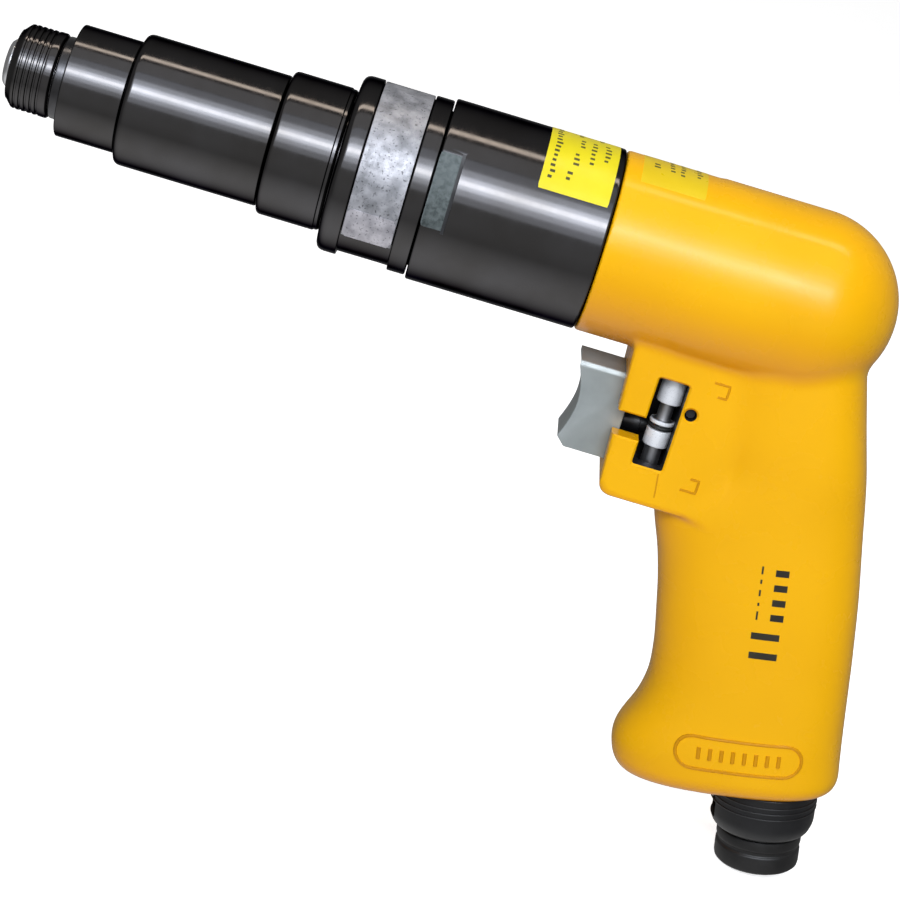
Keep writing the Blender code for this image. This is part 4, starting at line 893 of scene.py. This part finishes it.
def make_handle():
    item = make_handle_shell()
    upright = Matrix.Rotation(pi / 2, 4, "Y")
    spigot = span("motor_housing")[1] + FIT
    bore_end = DOME_X + 6.0
    seat_r, motor_r, chamfer = 19.8, 18.2, 0.3
    bore = [
        (BARREL_X - 5, 0), (BARREL_X - 5, seat_r), (spigot, seat_r), (spigot, motor_r),
        (bore_end, motor_r), (bore_end, 0),
    ]
    rim = [
        (BARREL_X - 1, 0), (BARREL_X - 1, seat_r + 1 + chamfer), (BARREL_X + chamfer, seat_r),
        (BARREL_X + chamfer, 0),
    ]
    cut(item, lathe("bore_tool", bore, 128), lathe("rim_tool", rim, 128))
    cut(item, flared("window_tool", WINDOW_X, WINDOW_END, WINDOW_BOTTOM, WINDOW_TOP, 7.0))
    cut(item, flared("slot_tool", BLOCK_X - 8, WINDOW_X + 3.0, SLOT_BOTTOM, SLOT_TOP, 0.0))
    outline = rounded_rectangle(-7.4, 7.4, -49.9, -27.2, 0.8)
    cut(item, along_x("pocket_tool", outline, BLOCK_X - 9, WINDOW_X + 0.5))
    stem = [
        (18.9, 0), (18.9, 2.5), (25.7, 2.5), (25.7, 3.35), (-BLOCK_BOTTOM + 4, 3.35),
        (-BLOCK_BOTTOM + 4, 0),
    ]
    spot = Matrix.Translation((SPOOL_X, SPOOL_Y, 0)) @ upright
    cut(item, lathe("spool_tool", stem, 48, spot))
    chamber, chamber_end = WINDOW_END + 7.7, WINDOW_END + 33.7
    at_rod = Matrix.Translation((0, 0, ROD_Z))
    profile = [
        (WINDOW_END - 1, 0), (WINDOW_END - 1, 2.3), (chamber, 2.3), (chamber, 6.0),
        (chamber_end, 6.0), (chamber_end, 0),
    ]
    cut(item, lathe("rod_tool", profile, 48, at_rod))
    for side in (-1, 1):
        hole = [(0, 0), (0, 1.5), (12.5, 1.5), (14.5, 3.5), (14.5, 0)]
        spot = Matrix.Translation((PIN_X, 0, PIN_Z)) @ Matrix.Rotation(side * pi / 2, 4, "Z")
        cut(item, lathe("pin_tool", hole, 32, spot))
    top = -ROD_Z / cos(TILT)
    thread = HANDLE_LENGTH - 14.3
    profile = [
        (top, 0), (top, 4.5), (thread, 4.5), (thread, 8.8), (HANDLE_LENGTH + 5, 8.8),
        (HANDLE_LENGTH + 5, 0),
    ]
    recess = [
        (HANDLE_LENGTH - 7, 10.0), (HANDLE_LENGTH - 7, 12.3), (HANDLE_LENGTH + 5, 12.3),
        (HANDLE_LENGTH + 5, 10.0),
    ]
    cut(item, lathe("inlet_tool", profile, 64, HANDLE), lathe("recess_tool", recess, 64, HANDLE))
    stand_for(item, (YELLOW, PAINTED_SHADE_BLACK), "handle_body", angle=28)
    # Painted shade: cut faces inside the block (trigger window, rod slot, trigger pocket and bores)
    # are painted near-black where the hollows lie in shadow.
    for face in item.data.polygons:
        x, y, z = face.center / MM
        in_block = x < chamber_end and WINDOW_BOTTOM - 9.6 < z < -20.0
        deep = abs(y) < BLOCK_HALF - 0.5 if x > BLOCK_X + 2.2 else abs(y) < 7.6
        outside = handle_distance(np.array([[x, y, z]]))[0]
        if in_block and deep and outside < -0.25:
            face.material_index = 1


def handle_side(x, z):
    """The point of the casting's left side above (x, z)."""
    x, z = np.asarray(x, float), np.asarray(z, float)
    y = np.full_like(x, -30.0)
    for _ in range(60):
        y = y + np.clip(handle_distance(np.stack([x, y, z], axis=-1)), 0.0, 3.0) * 0.8
    return np.stack([x, y, z], axis=-1)


def bead(name, path, width, height, closed):
    """A raised bead that follows the casting's left side along (x, z) points."""
    path = np.array(path, float)
    ahead = np.roll(path, -1, axis=0) - np.roll(path, 1, axis=0)
    if not closed:
        ahead[0], ahead[-1] = path[1] - path[0], path[-1] - path[-2]
    ahead /= np.linalg.norm(ahead, axis=1)[:, None]
    sideways = np.stack([-ahead[:, 1], ahead[:, 0]], axis=1)
    half = ((0.25, 0.8), (0.42, 0.05), (0.5, -0.25))  # share of the width, share of the height
    section = [(-share, lift) for share, lift in reversed(half)] + [(0, 1), *half]
    loops = []
    for share, lift in section:
        spots = path + sideways * share * width
        points = handle_side(spots[:, 0], spots[:, 1])
        slope = gradient(points)
        slope /= np.linalg.norm(slope, axis=1)[:, None]
        loops.append(points + slope * (lift * height if lift > 0 else lift * 0.4))
    sections = np.stack(loops, axis=1)
    verts = sections.reshape(-1, 3).tolist()
    count, wide = len(path), sections.shape[1]
    faces = []
    for i in range(count if closed else count - 1):
        j = (i + 1) % count
        for k in range(wide):
            m = (k + 1) % wide
            faces.append((i * wide + k, i * wide + m, j * wide + m, j * wide + k))
    if not closed:
        faces += [tuple(range(wide)), tuple(range((count - 1) * wide, count * wide))]
    return build(name, verts, faces)


def decal(name, centre, along, length, width):
    """A thin printed bar on the casting's left side."""
    lift, sunk = 0.04, 0.05
    cx, cz = centre
    dx, dz = along
    loops = []
    steps = max(2, int(length / 0.8))
    for i in range(steps + 1):
        t = (i / steps - 0.5) * length
        xs = np.array([cx + dx * t - dz * s for s in (-width / 2, width / 2)])
        zs = np.array([cz + dz * t + dx * s for s in (-width / 2, width / 2)])
        points = handle_side(xs, zs)
        a, b = points
        loops.append([
            (a[0], a[1] + sunk, a[2]), (a[0], a[1] - lift, a[2]),
            (b[0], b[1] - lift, b[2]), (b[0], b[1] + sunk, b[2]),
        ])
    return prism(name, loops)


def in_handle(u, v):
    """World (x, z) of a point u down the handle and v to its back."""
    return AXIS_X + u * DOWN.x + v * BACK.x, u * DOWN.z + v * BACK.z


def stadium(straight, radius):
    """A long oval: two straight sides of 14 points and two half circles of 10."""
    path = []
    for side in (1, -1):
        for i in range(14):
            path.append((side * straight * (2 * i / 14 - 1), side * radius))
        for i in range(10):
            turn = side * pi / 2 - pi * i / 10
            path.append((side * straight + radius * cos(turn), radius * sin(turn)))
    return path


def raised_mark(item):
    # Painted shade: the raised marks get the darker enamel.
    settle(item, PAINTED_SHADE_ENAMEL, "housing", slot="yellow_casting")


def make_handle_marks():
    centre_u, centre_v = 110.4, -9.2
    half_length, half_height = 15.5, 4.15
    path = stadium(half_length - half_height, half_height)
    path = [in_handle(centre_u + h, centre_v + v) for v, h in path]
    raised_mark(bead("base_mark", path, 1.0, 0.36, True))
    pips = []
    for i in range(8):
        v = centre_v + (i - 3.5) * 2.8
        low = Vector(in_handle(centre_u + 1.5, v))
        high = Vector(in_handle(centre_u - 1.5, v))
        path = [low + (high - low) * t for t in (0, 0.33, 0.66, 1)]
        pips.append(bead("base_pip", path, 1.2, 0.34, False))
    raised_mark(join_all("base_pips", pips))
    marks = []
    for x, z, turn in ((167.0, -23.6, 1), (167.2, -48.0, -1)):
        square = [(-1.9, 1.6), (1.9, 1.6), (1.9, -0.2 * turn), (1.9, -1.6), (-0.2, -1.6)]
        line = []
        for (ax, az), (bx, bz) in zip(square, square[1:]):
            for t in (0, 0.34, 0.67):
                line.append((x + ax + (bx - ax) * t, z + turn * (az + (bz - az) * t)))
        line.append((x + square[-1][0], z + turn * square[-1][1]))
        marks.append(bead("direction_mark", line, 0.75, 0.22, False))
    raised_mark(join_all("direction_marks", marks))
    bars = []
    lean = (DOWN.x, DOWN.z)
    across = (BACK.x, BACK.z)
    for i in range(4):
        bars.append(decal("bar", in_handle(62.0 + i * 3.8, -4.4), across, 3.2, 1.7))
    for i, length in enumerate((2.0, 1.1, 1.6, 0.8, 2.2)):
        bars.append(decal("bar", in_handle(61.6 + i * 2.9, -9.2), lean, length, 0.45))
    for i in range(2):
        bars.append(decal("bar", in_handle(78.4 + i * 5.0, -6.6), across, 6.8, 1.7))
    settle(join_all("handle_print", bars), DARK_INK, "housing", slot="black_plastic")
    line = [(159.3 + 0.8 * t, -47.4 - 6.0 * t) for t in (0, 0.2, 0.4, 0.6, 0.8, 1)]
    raised_mark(bead("parting_line", line, 0.45, 0.05, False))


# ---- trigger and spool -----------------------------------------------------
def make_trigger():
    low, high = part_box("trigger")
    x0, x1 = low.x / MM, high.x / MM
    z0, z1 = low.z / MM, high.z / MM
    half = high.y / MM
    hollow, lip, steps = 2.2, 2.2, 24
    edge, edge_drop = 0.5, 1.3  # chamfer along the top of each side
    loops = []
    for y, drop in (
        (-half, edge_drop), (edge - half, 0.0), (half - edge, 0.0), (half, edge_drop),
    ):
        top, outline = z1 - drop, []
        for i in range(steps + 1):
            share = i / steps
            outline.append((x0 + hollow * sin(pi * share), z0 + lip + (top - z0 - lip) * share))
        outline += [(x1, top), (x1, z0), (x0 + lip, z0)]
        loops.append([(x, y, z) for x, z in outline])
    item = prism("trigger_cast", loops)
    apply(
        item, "BEVEL", width=0.35 * MM, segments=3, limit_method="ANGLE", angle_limit=radians(12)
    )
    stand_for(item, GREY, "trigger", angle=50)

    start, end, _ = span("push_rod")
    profile = [
        (start, 0), (start, 2.4), (WINDOW_X, 2.4), (WINDOW_X, 2.0), (end, 2.0), (end, 0),
    ]
    item = lathe("push_rod_turned", rounded(profile, 0.3), 48, Matrix.Translation((0, 0, ROD_Z)))
    stand_for(item, PLASTIC, "push_rod")


def oval(x, r, half_x, half_r, count):
    """An oval profile round (x, r), for lathe."""
    turns = np.linspace(0, 2 * pi, count + 1)[:-1]
    return [(x + half_x * sin(turn), r + half_r * cos(turn)) for turn in turns]


def make_spool():
    low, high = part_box("reverse_spool")
    top, foot = -high.z / MM, -low.z / MM
    land = -WINDOW_TOP + 0.5
    land_end = land + 6.5
    lower = land_end + 4.5
    lower_end = lower + 6.6
    groove, groove_end = lower + 1.0, lower + 2.44
    profile = [
        (top, 0), (top, 2.2), (land, 2.2), (land, 3.05), (land_end, 3.05), (land_end, 1.8),
        (lower, 1.8), (lower, 3.05), (groove, 3.05), (groove, 1.98), (groove_end, 1.98),
        (groove_end, 3.05), (lower_end, 3.05), (lower_end, 2.2), (foot, 2.2), (foot, 0),
    ]
    place = Matrix.Translation((SPOOL_X, SPOOL_Y, 0)) @ Matrix.Rotation(pi / 2, 4, "Y")
    item = lathe("spool_turned", rounded(profile, 0.35), 64, place)
    stand_for(item, (WHITE_STEEL, SATIN), "reverse_spool")
    for face in item.data.polygons:
        off = sqrt((face.center.x / MM - SPOOL_X) ** 2 + (face.center.y / MM - SPOOL_Y) ** 2)
        if off < 2.5:
            face.material_index = 1
    circle = oval((groove + groove_end) / 2, 2.7, 0.42, 0.42, 16)
    stand_for(lathe("spool_seal_ring", circle, 64, place), RUBBER, "spool_seal", angle=60)


# ---- air inlet -------------------------------------------------------------
def make_inlet():
    base = HANDLE_LENGTH
    end = base + 22.2
    lid = base + FIT
    floor = lid + 12.6
    neck, r, bore = 9.2, 10.7, 5.6
    shoulder = floor + FIT
    ridge = shoulder + 2.6
    profile = [
        (base - 14, bore), (base - 14, 8.5), (lid, 8.5), (lid, neck), (shoulder, neck),
        (shoulder, r, 0.6), (ridge, r, 0.3), (ridge + 0.4, r - 0.5, 0.2),
        (ridge + 1.3, r - 0.5, 0.2), (ridge + 1.7, r, 0.3), (end, r, 1.3), (end, bore + 0.4, 0.3),
        (end - 0.4, bore),
    ]
    item = lathe("inlet_turned", rounded(profile, 0.3), 96, HANDLE)
    stand_for(item, INLET, "inlet_bushing")
    outer, rim = 13.2, 13.2 - 1.6
    profile = [
        (lid, rim), (lid, outer, 0.5), (floor - 3.4, outer, 1.2), (floor - 0.9, outer - 1.0, 1.4),
        (floor, outer - 2.6, 0.8), (floor, neck + FIT), (floor - 1.6, neck + FIT),
        (floor - 1.6, rim),
    ]
    item = lathe("deflector_moulded", rounded(profile, 0.3, 4), 96, HANDLE)
    outline = rounded_rectangle(lid + 4.0, floor - 2.6, -5.0, 5.0, 1.4)
    cut(item, along_z("slot_tool", outline, -16, -9.6, HANDLE))
    stand_for(item, PLASTIC, "exhaust_deflector")
    rings = []
    for i in range(3):
        section = oval(lid + 2.2 + i * 1.5, outer + 0.02, 0.22, 0.2, 8)
        rings.append(lathe("grip_ring", section, 96, HANDLE))
    item = join_all("deflector_grip_rings", rings)
    settle(item, PLASTIC, BODY_OF["exhaust_deflector"], slot="black_plastic")


# ---- camera and studio -----------------------------------------------------
CAMERA_TARGET = (110.7, 0.0, -60.8)
CAMERA_DISTANCE = 621.3
CAMERA_ELEVATION = 18.05
CAMERA_YAW = 1.79  # turned from the tool's left side towards its nose
CAMERA_ROLL = 17.14
CAMERA_LENS = 102.08


def make_camera():
    yaw, rise = radians(CAMERA_YAW), radians(CAMERA_ELEVATION)
    back = Vector((-sin(yaw) * cos(rise), -cos(yaw) * cos(rise), sin(rise)))
    data = bpy.data.cameras.new("photo_camera")
    data.lens = CAMERA_LENS
    data.sensor_width = 36.0
    data.clip_start, data.clip_end = 0.01, 20.0
    camera = bpy.data.objects.new("photo_camera", data)
    aim = (-back).to_track_quat("-Z", "Y").to_matrix()
    roll = Matrix.Rotation(radians(CAMERA_ROLL), 3, "Z")
    camera.matrix_world = Matrix.Translation(
        (Vector(CAMERA_TARGET) + back * CAMERA_DISTANCE) * MM
    ) @ (aim @ roll).to_4x4()
    bpy.context.scene.collection.objects.link(camera)
    bpy.context.scene.camera = camera


def softbox(name, angle, distance, along, deep, radiance, tint):
    """A strip light along X. angle is from the left horizon (0) up to the zenith (90).

    distance, along and deep are in metres, radiance in watts per square metre and steradian.
    """
    data = bpy.data.lights.new(name, "AREA")
    data.shape = "RECTANGLE"
    data.size, data.size_y = along, deep
    data.energy = radiance * pi * along * deep
    data.color = tint
    lamp = bpy.data.objects.new(name, data)
    toward = Vector((0, -cos(radians(angle)), sin(radians(angle))))
    lamp.location = Vector((0.1, 0, -0.03)) + toward * distance
    lamp.rotation_euler = (-toward).to_track_quat("-Z", "Y").to_euler()
    bpy.context.scene.collection.objects.link(lamp)


def make_studio():
    """Nested strip lights for the steel, a dim room, and white paper behind it all.

    The room is brighter to the left and below, and the camera sees it as plain white.
    """
    white, cool, warm = (1, 1, 1), (0.84, 0.90, 1.0), (1.0, 0.86, 0.72)
    softbox("key", 31.5, 0.95, 0.9, 0.10, 5.0, white)
    softbox("key_edge", 31.5, 0.96, 0.95, 0.27, 4.0, cool)
    softbox("halo", 32, 0.98, 1.1, 0.55, 1.9, cool)
    softbox("wide", 34, 1.00, 1.4, 1.00, 1.0, cool)
    softbox("overhead", 72, 1.20, 1.8, 0.45, 0.55, white)
    softbox("rim", 92, 1.10, 1.2, 0.12, 5.5, warm)
    world = bpy.data.worlds.new("studio")
    world.use_nodes = True
    tree = world.node_tree
    link = tree.links.new
    place = tree.nodes.new("ShaderNodeTexCoord").outputs["Generated"]
    parts = tree.nodes.new("ShaderNodeSeparateXYZ")
    link(place, parts.inputs["Vector"])
    left = remap(tree, parts.outputs["Y"], -0.1, -0.95, 0.04, 0.45)
    below = remap(tree, parts.outputs["Z"], -0.45, -1.0, 0.2, 0.95)
    most = tree.nodes.new("ShaderNodeMath")
    most.operation = "MAXIMUM"
    link(left, most.inputs[0])
    link(below, most.inputs[1])
    dim = tree.nodes["Background"]
    link(most.outputs["Value"], dim.inputs["Strength"])
    bright = tree.nodes.new("ShaderNodeBackground")
    bright.inputs["Strength"].default_value = 1.0
    for background in (dim, bright):
        background.inputs["Color"].default_value = (1, 1, 1, 1)
    choose = tree.nodes.new("ShaderNodeMixShader")
    ray = tree.nodes.new("ShaderNodeLightPath").outputs["Is Camera Ray"]
    link(ray, choose.inputs["Fac"])
    link(dim.outputs["Background"], choose.inputs[1])
    link(bright.outputs["Background"], choose.inputs[2])
    link(choose.outputs["Shader"], tree.nodes["World Output"].inputs["Surface"])
    bpy.context.scene.world = world
    bpy.context.scene.view_settings.view_transform = "Standard"
    lowest, side = cad_box[0][2] / MM, 6000.0
    corners = [(x * side, y * side, lowest) for x, y in ((-1, -1), (1, -1), (1, 1), (-1, 1))]
    floor = build("floor", corners, [(0, 1, 2, 3)])
    paper = moulded("paper_sweep", (0.90, 0.90, 0.90), (0.92, 0.92, 0.92), 0.9, 2.0, 0.01)
    shader = paper.node_tree.nodes["Principled BSDF"]
    shader.inputs["Emission Color"].default_value = (1, 1, 1, 1)
    shader.inputs["Emission Strength"].default_value = 0.75
    floor.data.materials.append(paper)
    floor.visible_glossy = False
    floor.visible_diffuse = False


make_spindle()
make_chuck()
make_nose()
make_clutch_housing()
make_motor_housing()
make_labels()
make_handle()
make_handle_marks()
make_trigger()
make_spool()
make_inlet()
make_camera()
make_studio()
